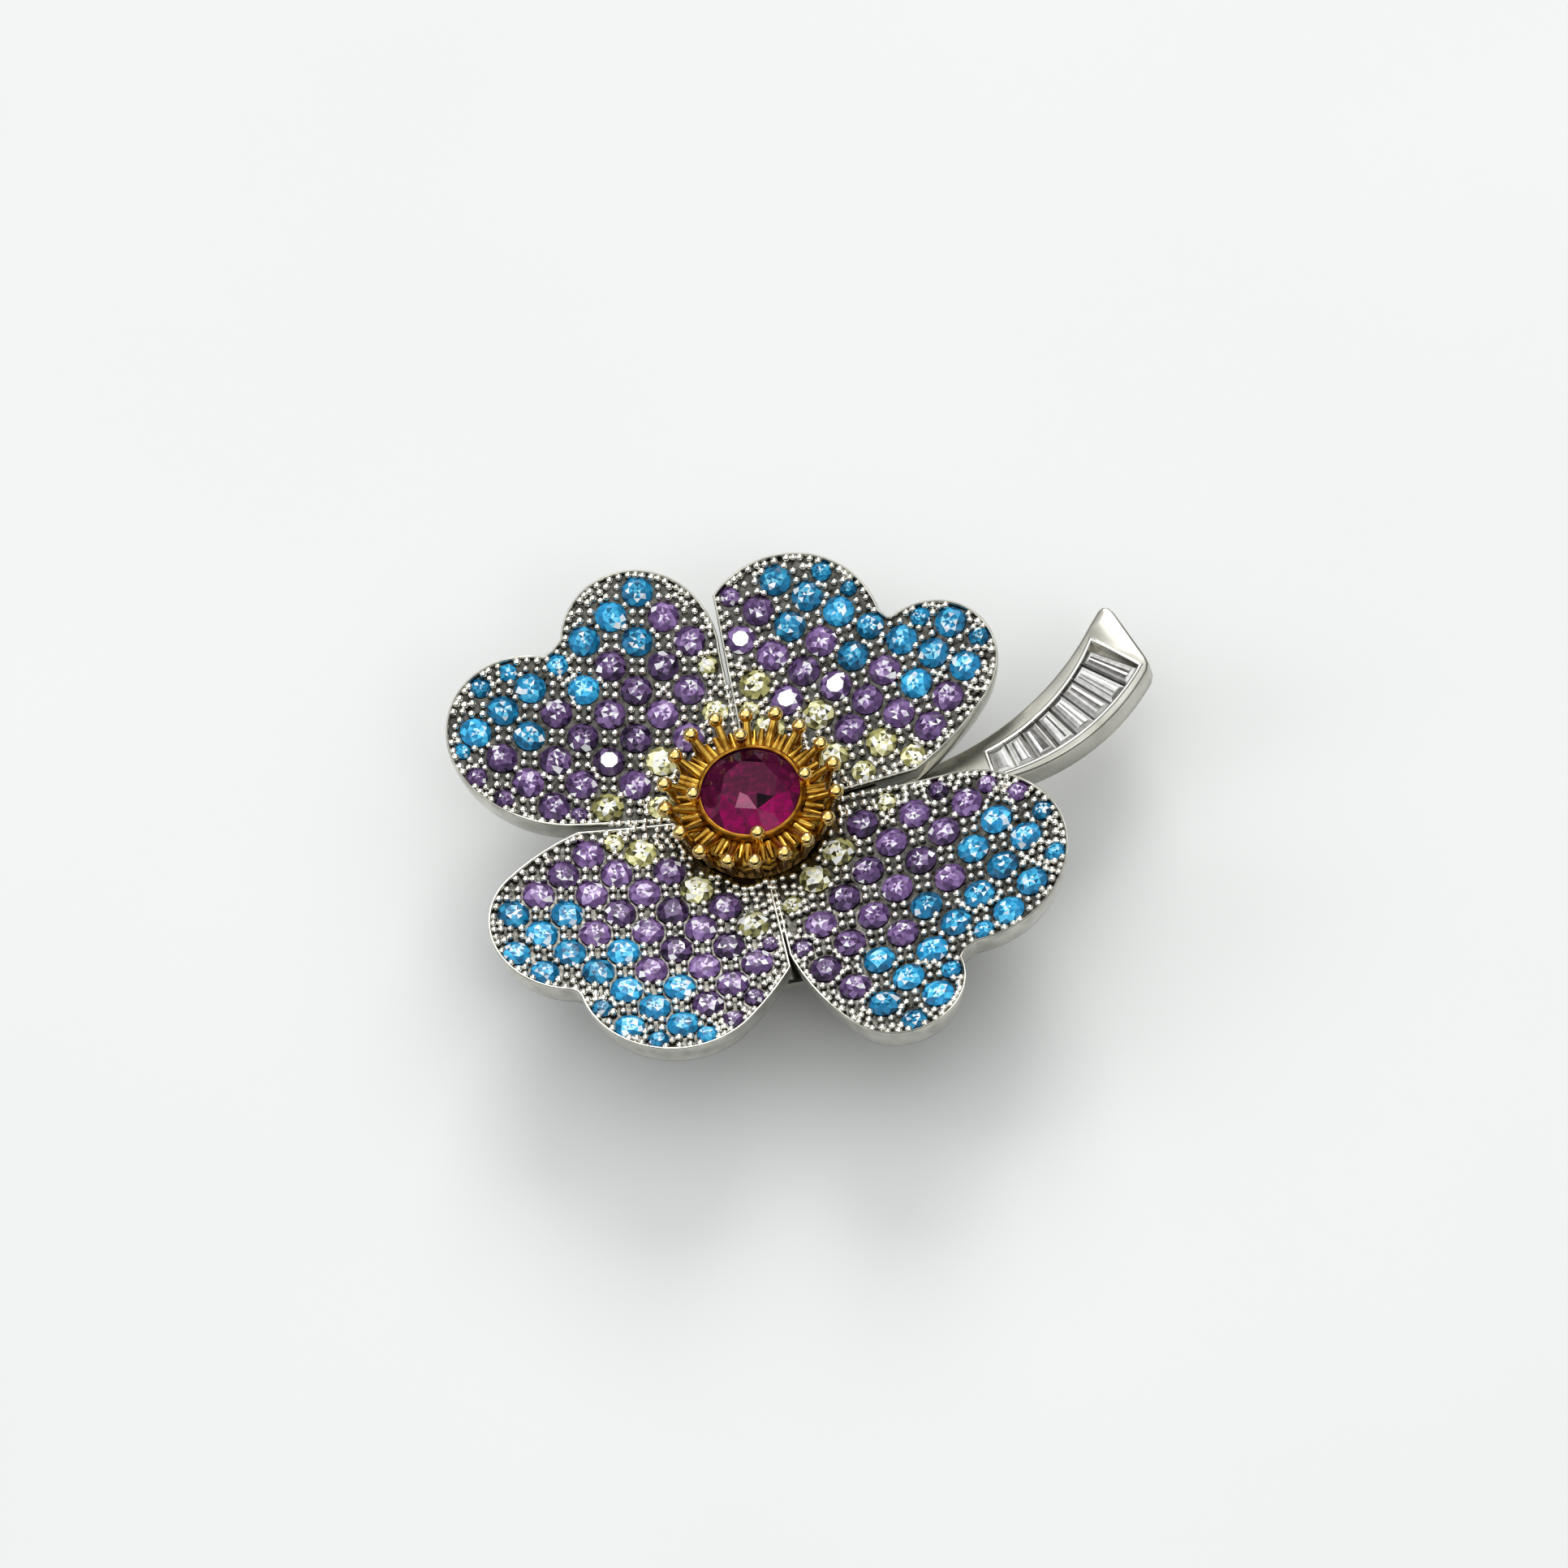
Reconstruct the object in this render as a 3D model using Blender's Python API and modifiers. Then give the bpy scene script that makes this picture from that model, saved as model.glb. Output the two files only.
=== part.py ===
"""Jewelled flower brooch with a bar pin, modelled as its separate pieces.

Four heart-shaped pave petals stand on a dished centre plate round a gold
stamen crown and a round ruby. A curved stem holds a row of baguettes. The
back carries a bar with a hinged pin stem and a turning safety catch.

Frame: metres, +Z is the flower's axis and points to the front, +X towards
the stem. The origin is on that axis, on the flat back face of the pin bar.
"""
import math

import bmesh
import bpy
from mathutils import Matrix, Vector

MM = 0.001
GAP = 0.06 * MM                    # solder gap between neighbouring pieces

# Levels along the flower's axis
BAR_T = 0.8 * MM
PLATE_BACK = BAR_T + GAP
PLATE_T = 1.0 * MM
PETAL_T = 2.2 * MM
BOWL_Z = PLATE_BACK + PLATE_T + GAP + PETAL_T   # top of the petals on the axis
BOWL_R = 62.0 * MM                 # the petals lie on one shallow bowl
GIRDLE_Z = BOWL_Z + 2.2 * MM       # girdle of the centre stone

# Petals: azimuth of the notch, its distance from the axis and how far it is
# filled, then for the left and the right side (seen with the notch up) the half
# width, the lobe centre's offset and the radius of the long side
PETALS = {
    "nw": (130.0, 15.0, 1.0, (10.06, 4.8, 7.7), (8.34, 3.8, 5.7)),
    "ne": (47.4, 14.0, 0.6, (9.81, 4.18, 10.2), (8.08, 3.98, 16.5)),
    "se": (-50.6, 15.7, 1.1, (10.97, 5.02, 6.5), (7.59, 3.77, 16.3)),
    "sw": (-137.3, 16.0, 0.3, (9.12, 3.51, 20.5), (8.21, 3.43, 14.4)),
}
NOTCH_DIP = 0.1
SEAMS = {                          # azimuths of a petal's right and left seam
    "nw": (91.0, 178.5),
    "ne": (2.5, 91.0),
    "se": (-87.0, 2.5),
    "sw": (-181.5, -87.0),
}
LOBE_STEPS = 8
SIDE_STEPS = 4
LONGEST_EDGE = 2.8 * MM
SHORTEST_EDGE = 0.4 * MM
CROWN_CLEAR_R = 4.5 * MM           # petals end here, round the crown's basket
RIM_W = 0.3 * MM                   # metal rim round the stones
POCKET_D = 0.62 * MM               # the stones' pocket in the front
HOLLOW_WALL = 0.7 * MM             # wall round the hollow back
HOLLOW_TOP = 1.05 * MM             # deck left above the hollow, from the front
HOLLOW_START_R = 9.0 * MM          # the petal is solid nearer the plate

# Pave stones on a nearly square lattice in each petal: the place of the stone
# in column 0 and row 0, then azimuth and pitch from row to row and from column
# to column
LATTICES = {
    "nw": ((-8.69, 9.56), (126.7, 2.15), (36.1, 2.22)),
    "ne": ((7.35, 8.79), (50.4, 2.07), (-38.8, 2.16)),
    "se": ((8.91, -8.81), (-49.0, 2.26), (-136.8, 2.24)),
    "sw": ((-8.87, -8.28), (-142.4, 2.02), (133.7, 2.09)),
}
STONE_R = 0.92 * MM
STONE_TABLE = 0.58                 # table's share of a stone's width
STONE_SIDES = 6
BED_TOP = 0.3 * MM                 # below the rim's top
BED_BOTTOM = 0.52 * MM
STONE_EDGE = 0.1 * MM              # from a stone to the rim
STONE_LEAST_R = 0.44 * MM          # stones beside the rim are smaller
RIM_STONE_R = 0.58 * MM            # those pushed in from the rim
PUSH_MOST = 1.05 * MM
STONE_MIN_R = 5.5 * MM             # stones start outside the crown
ZONE_ROWS = {                      # first and last row of each colour zone
    "outer": (0, 3),
    "middle": (-2, -1),
    "inner": (-6, -3),
}

# Gold crown and centre stone
CROWN_PRONGS = 18
PRONG_R = 0.24 * MM
BALL_R = 0.42 * MM
CROWN_TOP_R = 5.05 * MM
CROWN_TOP_Z = GIRDLE_Z + 0.7 * MM
CLAWS = 4
CLAW_TOP_R = 3.32 * MM
CLAW_TOP_Z = GIRDLE_Z + 1.05 * MM
CLAW_R = 0.24 * MM
RUBY_R = 3.0 * MM
RUBY_TABLE_R = 1.7 * MM
RUBY_TOP = 0.95 * MM
RUBY_DEPTH = 2.4 * MM
SEAT_R = 2.75 * MM                 # round seat of the crown's foot in the plate
SEAT_DEPTH = 0.55 * MM
PLATE_R = 7.5 * MM

# Stem: its own tilted frame, top face at local z = 0
STEM_AZIMUTH = 22.0
STEM_TILT = 7.0
STEM_Z = 1.21 * MM
STEM_T = 1.9 * MM
STEM_LEFT = ((14.4, 14.34), 16.96)     # arc centres and radii of the edges
STEM_RIGHT = ((18.12, 6.46), 12.9)
RAIL_LEFT = ((15.36, 8.86), 12.46)
RAIL_RIGHT = ((17.92, 7.27), 13.1)
STEM_TIP = ((24.9, -4.35), (25.0, -3.9), (25.05, -0.25), (24.95, 0.25), (24.65, 0.5), (24.3, 0.45))
RECESS_END = -55.0
STEM_PIVOT = (16.6, 8.0)           # the baguettes' joints point to it
BAGUETTES = 8
BAGUETTE_START = -103.0
BAGUETTE_END = -57.5
CHANNEL_D = 1.0 * MM

# Bar pin
BAR_HALF_L = 9.9 * MM
BAR_W = 2.6 * MM
PIN_Z = -1.8 * MM                  # pin stem's centre line
HINGE_Y = 8.4 * MM
CATCH_Y = -6.6 * MM
WIRE_R = 0.45 * MM
EYE_R = 0.75 * MM
EYE_W = 0.9 * MM
RIVET_R = 0.35 * MM
RIVET_HOLE_R = 0.4 * MM
PIN_TIP_Y = -8.7 * MM
EAR_T = 0.5 * MM
EAR_R = 0.85 * MM
CATCH_OUT_R = 1.3 * MM
CATCH_IN_R = 0.95 * MM
CATCH_L = 2.2 * MM
CATCH_SLOT = 1.3 * MM
ROTOR_OUT_R = 0.88 * MM
ROTOR_IN_R = 0.6 * MM
ROTOR_L = 2.9 * MM
ROTOR_SLOT = 1.12 * MM
TAB_REACH = 1.6 * MM
TAB_ANGLE = -140.0                 # of the thumb tab at rest, in the XZ plane

RHODIUM = ((0.78, 0.78, 0.76), 0.15, 1.0)
STEEL = ((0.62, 0.62, 0.63), 0.25, 1.0)
GOLD = ((0.83, 0.55, 0.16), 0.2, 1.0)
RUBY_RED = ((0.42, 0.01, 0.14), 0.05, 0.0)
BLUE = ((0.07, 0.45, 0.78), 0.08, 0.0)
PURPLE = ((0.3, 0.16, 0.5), 0.08, 0.0)
YELLOW = ((0.82, 0.84, 0.45), 0.08, 0.0)
CLEAR = ((0.85, 0.87, 0.88), 0.05, 0.0)


def clear_scene():
    for obj in list(bpy.data.objects):
        bpy.data.objects.remove(obj, do_unlink=True)


def make_collection(name):
    collection = bpy.data.collections.new(name)
    bpy.context.scene.collection.children.link(collection)
    return collection


def make_material(name, look):
    colour, roughness, metallic = look
    material = bpy.data.materials.new(name)
    material.use_nodes = True
    shader = material.node_tree.nodes["Principled BSDF"]
    shader.inputs["Base Color"].default_value = (*colour, 1.0)
    shader.inputs["Roughness"].default_value = roughness
    shader.inputs["Metallic"].default_value = metallic
    material.diffuse_color = (*colour, 1.0)
    return material


def add_piece(name, bm, look, smooth=False):
    """Turn a bmesh into a named piece with its own material."""
    mesh = bpy.data.meshes.new(name)
    bmesh.ops.recalc_face_normals(bm, faces=bm.faces)
    bm.to_mesh(mesh)
    bm.free()
    if smooth:
        mesh.shade_smooth()
        mesh.set_sharp_from_angle(angle=math.radians(35))
    mesh.materials.append(make_material(name, look))
    obj = bpy.data.objects.new(name, mesh)
    PIECES.objects.link(obj)
    return obj


def add_cutter(name, bm):
    mesh = bpy.data.meshes.new(name)
    bmesh.ops.recalc_face_normals(bm, faces=bm.faces)
    bm.to_mesh(mesh)
    bm.free()
    obj = bpy.data.objects.new(name, mesh)
    obj.hide_render = True
    obj.display_type = "WIRE"
    CUTTERS.objects.link(obj)
    return obj


def boolean(obj, operand, operation):
    modifier = obj.modifiers.new(operand.name, "BOOLEAN")
    modifier.operation = operation
    modifier.solver = "EXACT"
    modifier.object = operand


# Plan outlines ------------------------------------------------------------

def polar(radius, degrees):
    angle = math.radians(degrees)
    return Vector((radius * math.cos(angle), radius * math.sin(angle)))


def petal_side(half_width, lobe_offset, side_radius, sign, fill):
    """One half of a heart, from the filled notch round the lobe and down the side."""
    lobe_r = half_width - lobe_offset
    lobe_v = -math.sqrt(lobe_r ** 2 - lobe_offset ** 2)
    notch_angle = math.pi - math.asin((fill - lobe_v) / lobe_r)
    points = []
    for step in range(LOBE_STEPS + 1):
        angle = notch_angle * (1 - step / LOBE_STEPS)
        u = lobe_offset + lobe_r * math.cos(angle)
        points.append((sign * u, lobe_v + lobe_r * math.sin(angle)))
    for step in range(1, SIDE_STEPS + 1):
        angle = math.radians(45) * step / SIDE_STEPS
        u = half_width - side_radius * (1 - math.cos(angle))
        points.append((sign * u, lobe_v - side_radius * math.sin(angle)))
    return points


def petal_frame(name):
    azimuth, notch_r = PETALS[name][:2]
    outward = polar(1.0, azimuth)
    rightward = Vector((outward.y, -outward.x))
    return outward * notch_r * MM, outward, rightward


def on_petal(name, u, v):
    """Plan point from petal coordinates: u rightward, v outward from the notch."""
    notch, outward, rightward = petal_frame(name)
    return notch + rightward * u + outward * v


def clip(points, normal, offset):
    """Keep the part of a polygon where point . normal >= offset."""
    kept = []
    for here, after in zip(points, points[1:] + points[:1]):
        a = here.dot(normal) - offset
        b = after.dot(normal) - offset
        if a >= 0:
            kept.append(here)
        if (a > 0 > b) or (a < 0 < b):
            kept.append(here.lerp(after, a / (a - b)))
    return kept


def drop_short_edges(points):
    """Leave out each point that lies too close to the one before it."""
    kept = [points[0]]
    for point in points[1:]:
        if (point - kept[-1]).length > SHORTEST_EDGE:
            kept.append(point)
    if (kept[0] - kept[-1]).length < SHORTEST_EDGE:
        kept.pop()
    return kept


def inset(points, distance):
    """Move a counter-clockwise polygon's edges inward."""
    moved = []
    count = len(points)
    for index, point in enumerate(points):
        before = (point - points[index - 1]).normalized()
        after = (points[(index + 1) % count] - point).normalized()
        normal_a = Vector((-before.y, before.x))
        normal_b = Vector((-after.y, after.x))
        middle = (normal_a + normal_b).normalized()
        stretch = min(1 / max(middle.dot(normal_a), 0.4), 1.6)
        moved.append(point + middle * distance * stretch)
    return moved


def lattice_steps(name):
    """Start of a petal's lattice, its step from row to row and from column to column."""
    start, (row_azimuth, row_pitch), (column_azimuth, column_pitch) = LATTICES[name]
    return (Vector(start) * MM, polar(row_pitch * MM, row_azimuth),
            polar(column_pitch * MM, column_azimuth))


def petal_outline(name):
    _, _, fill, left, right = PETALS[name]
    flat = petal_side(*right, 1, fill)[::-1] + [(0.0, fill - NOTCH_DIP)] + petal_side(*left, -1, fill)
    points = [on_petal(name, u * MM, v * MM) for u, v in flat]
    points.append(Vector((0.0, 0.0)))
    right_seam, left_seam = SEAMS[name]
    points = clip(points, polar(1.0, right_seam + 90), GAP / 2)
    points = clip(points, polar(1.0, left_seam - 90), GAP / 2)
    return drop_short_edges(points)


# Solids that follow the bowl ----------------------------------------------

def bowl_z(point):
    return BOWL_Z + point.length_squared / (2 * BOWL_R)


def split_long_edges(points):
    """Add points along a polygon's long edges, so that they follow the bowl."""
    dense = []
    for here, after in zip(points, points[1:] + points[:1]):
        parts = math.ceil((after - here).length / LONGEST_EDGE)
        dense += [here.lerp(after, part / parts) for part in range(parts)]
    return dense


def bowl_solid(outline, centre, top, bottom):
    """A plate on the bowl, its faces `top` and `bottom` below the rim level."""
    outline = split_long_edges(outline)
    bm = bmesh.new()
    rings = []
    for scale in (1.0, 0.5):
        ring = []
        for point in outline:
            spot = centre.lerp(point, scale)
            ring.append(bm.verts.new((spot.x, spot.y, bowl_z(spot) - top)))
        rings.append(ring)
    middle = bm.verts.new((centre.x, centre.y, bowl_z(centre) - top))
    count = len(outline)
    for index in range(count):
        after = (index + 1) % count
        outer, inner = rings
        bm.faces.new((outer[index], outer[after], inner[after], inner[index]))
        bm.faces.new((inner[index], inner[after], middle))
    skin = bmesh.ops.extrude_face_region(bm, geom=bm.faces[:])
    lowered = [item for item in skin["geom"] if isinstance(item, bmesh.types.BMVert)]
    bmesh.ops.translate(bm, verts=lowered, vec=(0, 0, top - bottom))
    bmesh.ops.triangulate(bm, faces=bm.faces[:])
    return bm


def axis_cylinder(radius, low, high, segments=32):
    bm = bmesh.new()
    bmesh.ops.create_cone(
        bm, cap_ends=True, segments=segments, radius1=radius, radius2=radius,
        depth=high - low, matrix=Matrix.Translation((0, 0, (low + high) / 2)))
    return bm


def nearest_on(point, polygon):
    """The place on a polygon's edges that is nearest to a plan point."""
    places = []
    for here, after in zip(polygon, polygon[1:] + polygon[:1]):
        edge = after - here
        share = min(max((point - here).dot(edge) / edge.length_squared, 0), 1)
        places.append(here + edge * share)
    return min(places, key=lambda place: (place - point).length_squared)


def edge_distance(point, polygon):
    return (nearest_on(point, polygon) - point).length


def stone_spots(name, zone):
    """Lattice points of one colour zone, each with the radius that fits there;
    beside the rim the stones are smaller and pushed inwards."""
    outline = petal_outline(name)
    start, row_step, column_step = lattice_steps(name)
    first, last = ZONE_ROWS[zone]
    spots = []
    pushed = []
    for row in range(first, last + 1):
        for column in range(-5, 6):
            spot = start + row_step * row + column_step * column
            if spot.length < STONE_MIN_R:
                continue
            edge = nearest_on(spot, outline)
            within = inside(spot, outline)
            inward = (spot - edge) if within else (edge - spot)
            room = inward.length * (1 if within else -1) - RIM_W - STONE_EDGE
            if room > RIM_STONE_R:
                spots.append((spot, min(room, STONE_R)))
            elif room > RIM_STONE_R - PUSH_MOST:
                pushed.append((row, spot + inward.normalized() * (RIM_STONE_R - room)))
    along = Vector((-column_step.y, column_step.x)).normalized()
    half_row = row_step.dot(along) / 2
    for row, spot in pushed:
        radius = min(RIM_STONE_R, edge_distance(spot, outline) - RIM_W - STONE_EDGE)
        radius = min([radius] + [(spot - other).length - reach - GAP for other, reach in spots])
        middle = (start + row_step * row).dot(along)
        radius = min(radius, half_row - GAP - abs(spot.dot(along) - middle))
        if radius > STONE_LEAST_R and spot.length > STONE_MIN_R:
            spots.append((spot, radius))
    return spots


def inside(point, polygon):
    """Even-odd test of a plan point against a polygon."""
    found = False
    for here, after in zip(polygon, polygon[1:] + polygon[:1]):
        if (here.y > point.y) != (after.y > point.y):
            share = (point.y - here.y) / (after.y - here.y)
            if point.x < here.x + share * (after.x - here.x):
                found = not found
    return found


def stone_cones(spots):
    """Faceted stone tops, each square to the bowl."""
    bm = bmesh.new()
    depth = BED_TOP + 0.1 * MM
    for spot, radius in spots:
        normal = Vector((-spot.x / BOWL_R, -spot.y / BOWL_R, 1.0)).normalized()
        centre = Vector((spot.x, spot.y, bowl_z(spot))) - normal * depth / 2
        turn = Vector((0, 0, 1)).rotation_difference(normal).to_matrix().to_4x4()
        bmesh.ops.create_cone(
            bm, cap_ends=True, segments=STONE_SIDES, radius1=radius,
            radius2=radius * STONE_TABLE, depth=depth,
            matrix=Matrix.Translation(centre) @ turn)
    return bm


def build_petal(name):
    outline = petal_outline(name)
    centre = on_petal(name, 0, -5.0 * MM)
    outward = petal_frame(name)[1]
    petal = add_piece("petal_" + name, bowl_solid(outline, centre, 0, PETAL_T), RHODIUM)
    pocket = bowl_solid(inset(outline, RIM_W), centre, -MM, POCKET_D)
    boolean(petal, add_cutter(name + "_pocket_cut", pocket), "DIFFERENCE")
    hollow_edge = clip(inset(outline, HOLLOW_WALL), outward, HOLLOW_START_R)
    hollow = bowl_solid(hollow_edge, centre, HOLLOW_TOP, PETAL_T + MM)
    boolean(petal, add_cutter(name + "_hollow_cut", hollow), "DIFFERENCE")
    boolean(petal, CROWN_CUT, "DIFFERENCE")

    bed_outline = inset(outline, RIM_W + 0.08 * MM)
    start, row_step, column_step = lattice_steps(name)
    along = Vector((-column_step.y, column_step.x)).normalized()
    looks = {"outer": BLUE, "middle": PURPLE, "inner": YELLOW}
    for zone, (first, last) in ZONE_ROWS.items():
        low_edge = (start + row_step * (first - 0.5)).dot(along) + GAP / 2
        high_edge = (start + row_step * (last + 0.5)).dot(along) - GAP / 2
        band = clip(bed_outline, along, max(low_edge, 0.0))
        band = drop_short_edges(clip(band, -along, -high_edge))
        if zone == "inner":
            heart = outward * (high_edge - 1.2 * MM)
        elif zone == "middle":
            heart = outward * (low_edge + high_edge) / 2
        else:
            heart = outward * (low_edge + 2.0 * MM)
        bed = bowl_solid(band, heart, BED_TOP, BED_BOTTOM)
        stones = add_piece(name + "_" + zone + "_stones", bed, looks[zone])
        cones = stone_cones(stone_spots(name, zone))
        boolean(stones, add_cutter(name + "_" + zone + "_tops", cones), "UNION")
        if zone == "inner":
            boolean(stones, CROWN_CUT_WIDE, "DIFFERENCE")


# Turned pieces ------------------------------------------------------------

def turned(name, profile, look, steps, closed=False):
    """Turn an (r, z) profile round Z; it runs down its outer side."""
    bm = bmesh.new()
    verts = [bm.verts.new((r, 0, z)) for r, z in profile]
    for a, b in zip(verts, verts[1:]):
        bm.edges.new((a, b))
    if closed:
        bm.edges.new((verts[-1], verts[0]))
    mesh = bpy.data.meshes.new(name)
    bm.to_mesh(mesh)
    bm.free()
    mesh.materials.append(make_material(name, look))
    obj = bpy.data.objects.new(name, mesh)
    PIECES.objects.link(obj)
    screw = obj.modifiers.new("turn", "SCREW")
    screw.steps = steps
    screw.render_steps = steps
    screw.use_merge_vertices = True
    screw.merge_threshold = 1e-7
    screw.use_smooth_shade = False
    return obj


def rod_bm(start, end, radius, segments, bm=None):
    """A straight round rod between two points."""
    bm = bm or bmesh.new()
    along = end - start
    turn = Vector((0, 0, 1)).rotation_difference(along).to_matrix().to_4x4()
    bmesh.ops.create_cone(
        bm, cap_ends=True, segments=segments, radius1=radius, radius2=radius,
        depth=along.length, matrix=Matrix.Translation((start + end) / 2) @ turn)
    return bm


def prong_set(count, foot, top, radius, first_angle):
    """Rods and balls on a ring: foot and top are (r, z) of a prong's ends."""
    rods = bmesh.new()
    balls = bmesh.new()
    for index in range(count):
        angle = first_angle + 360 * index / count
        low = polar(foot[0], angle)
        high = polar(top[0], angle)
        start = Vector((low.x, low.y, foot[1]))
        end = Vector((high.x, high.y, top[1]))
        rod_bm(start, end, radius, 6, rods)
        bmesh.ops.create_uvsphere(
            balls, u_segments=7, v_segments=4, radius=BALL_R,
            matrix=Matrix.Translation(end))
    return rods, balls


def build_centre():
    plate_rings = [SEAT_R + (PLATE_R - SEAT_R) * step / 4 for step in range(5)]
    top = PLATE_BACK + PLATE_T
    seat_z = top - SEAT_DEPTH
    profile = [(0, seat_z), (SEAT_R, seat_z)]
    profile += [(r, top + r * r / (2 * BOWL_R)) for r in plate_rings]
    profile += [(PLATE_R, PLATE_BACK), (0, PLATE_BACK)]
    turned("centre_plate", profile, RHODIUM, 40)

    floor = BOWL_Z - 0.45 * MM
    lip = GIRDLE_Z + 0.1 * MM
    cup = [
        (0, floor), (3.6 * MM, floor), (3.6 * MM, GIRDLE_Z - 1.2 * MM), (4.5 * MM, lip),
        (4.78 * MM, lip), (3.98 * MM, floor), (3.98 * MM, floor - 0.5 * MM),
        (SEAT_R - GAP, floor - 0.5 * MM), (SEAT_R - GAP, seat_z + GAP), (0, seat_z + GAP),
    ]
    crown = turned("stamen_crown", cup, GOLD, 36)
    rods, balls = prong_set(
        CROWN_PRONGS, (3.92 * MM, floor + 0.05 * MM), (CROWN_TOP_R, CROWN_TOP_Z), PRONG_R, 5)
    boolean(crown, add_cutter("crown_rods", rods), "UNION")
    boolean(crown, add_cutter("crown_balls", balls), "UNION")

    ring_top = GIRDLE_Z - 0.65 * MM
    ring = [
        (2.6 * MM, ring_top), (3.4 * MM, ring_top),
        (3.4 * MM, ring_top - 0.35 * MM), (2.6 * MM, ring_top - 0.35 * MM),
    ]
    setting = turned("ruby_setting", ring, GOLD, 32, closed=True)
    rods, balls = prong_set(
        CLAWS, (3.22 * MM, floor + GAP), (CLAW_TOP_R, CLAW_TOP_Z), CLAW_R, 0)
    boolean(setting, add_cutter("claw_rods", rods), "UNION")
    boolean(setting, add_cutter("claw_balls", balls), "UNION")

    girdle = 0.12 * MM
    gem = [
        (0, GIRDLE_Z + RUBY_TOP), (RUBY_TABLE_R, GIRDLE_Z + RUBY_TOP),
        (RUBY_R, GIRDLE_Z + girdle), (RUBY_R, GIRDLE_Z - girdle),
        (0, GIRDLE_Z - RUBY_DEPTH),
    ]
    turned("ruby", gem, RUBY_RED, 16)


# Stem ---------------------------------------------------------------------

def flat_solid(outline, low, high):
    """A flat outline drawn as a filled 2D curve and given its thickness."""
    curve = bpy.data.curves.new("outline", "CURVE")
    curve.dimensions = "2D"
    curve.fill_mode = "BOTH"
    curve.extrude = (high - low) / 2
    spline = curve.splines.new("POLY")
    spline.points.add(len(outline) - 1)
    for point, (x, y) in zip(spline.points, outline):
        point.co = (x, y, 0, 1)
    spline.use_cyclic_u = True
    holder = bpy.data.objects.new("outline", curve)
    PIECES.objects.link(holder)
    bpy.context.view_layer.update()
    evaluated = holder.evaluated_get(bpy.context.evaluated_depsgraph_get())
    mesh = bpy.data.meshes.new_from_object(evaluated)
    bm = bmesh.new()
    bm.from_mesh(mesh)
    bmesh.ops.remove_doubles(bm, verts=bm.verts, dist=1e-7)
    bmesh.ops.translate(bm, verts=bm.verts, vec=(0, 0, (low + high) / 2))
    bpy.data.objects.remove(holder, do_unlink=True)
    bpy.data.meshes.remove(mesh)
    return bm


def on_arc(arc, degrees):
    """Where a ray from the stem's pivot meets one of its edge arcs."""
    (cx, cy), radius = arc
    px, py = STEM_PIVOT
    ray = polar(1.0, degrees)
    offset = Vector((px - cx, py - cy))
    along = offset.dot(ray)
    reach = -along + math.sqrt(along ** 2 - offset.length_squared + radius ** 2)
    return ((px + ray.x * reach) * MM, (py + ray.y * reach) * MM)


def arc_run(arc, start, end, steps):
    return [on_arc(arc, start + (end - start) * k / steps) for k in range(steps + 1)]


def build_stem():
    frame = bpy.data.objects.new("stem_frame", None)
    PIECES.objects.link(frame)
    frame.location = (0, 0, STEM_Z)
    frame.rotation_euler = (0, -math.radians(STEM_TILT), math.radians(STEM_AZIMUTH))

    root = [(6.9 * MM, -1.0 * MM), (6.9 * MM, -2.4 * MM)]
    outline = arc_run(STEM_LEFT, -50.0, -119.0, 9)
    outline += root
    outline += arc_run(STEM_RIGHT, -114.0, -57.9, 8)
    outline += [(x * MM, y * MM) for x, y in STEM_TIP]
    channel = add_piece("stem_channel", flat_solid(outline, -STEM_T, 0), RHODIUM)
    channel.parent = frame
    recess = arc_run(RAIL_LEFT, RECESS_END, BAGUETTE_START, 8)
    recess += arc_run(RAIL_RIGHT, BAGUETTE_START, BAGUETTE_END, 8)
    recess_cut = add_cutter("stem_recess_cut", flat_solid(recess, -CHANNEL_D, MM))
    recess_cut.parent = frame
    boolean(channel, recess_cut, "DIFFERENCE")
    plate_cut = axis_cylinder(PLATE_R + GAP, -3 * MM, 6 * MM, 40)
    boolean(channel, add_cutter("plate_cut", plate_cut), "DIFFERENCE")

    step = (BAGUETTE_END - BAGUETTE_START) / BAGUETTES
    joint = 0.13                   # half the angle between neighbours
    for index in range(BAGUETTES):
        start = BAGUETTE_START + step * index + joint
        end = start + step - 2 * joint
        corners = [on_arc(RAIL_LEFT, start), on_arc(RAIL_LEFT, end),
                   on_arc(RAIL_RIGHT, end), on_arc(RAIL_RIGHT, start)]
        edge = inset([Vector(corner) for corner in corners[::-1]], 0.05 * MM)
        block = flat_solid([tuple(point) for point in edge], 0.06 * MM - CHANNEL_D, -0.04 * MM)
        stone = add_piece("stem_baguette_" + str(index + 1), block, CLEAR)
        stone.parent = frame
        cut = stone.modifiers.new("step_cut", "BEVEL")
        cut.width = 0.18 * MM
        cut.segments = 1
        cut.limit_method = "ANGLE"


# Bar pin ------------------------------------------------------------------

def box_bm(low, high):
    bm = bmesh.new()
    size = [b - a for a, b in zip(low, high)]
    middle = [(a + b) / 2 for a, b in zip(low, high)]
    matrix = Matrix.Translation(middle) @ Matrix.Diagonal((*size, 1))
    bmesh.ops.create_cube(bm, size=1.0, matrix=matrix)
    return bm


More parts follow.
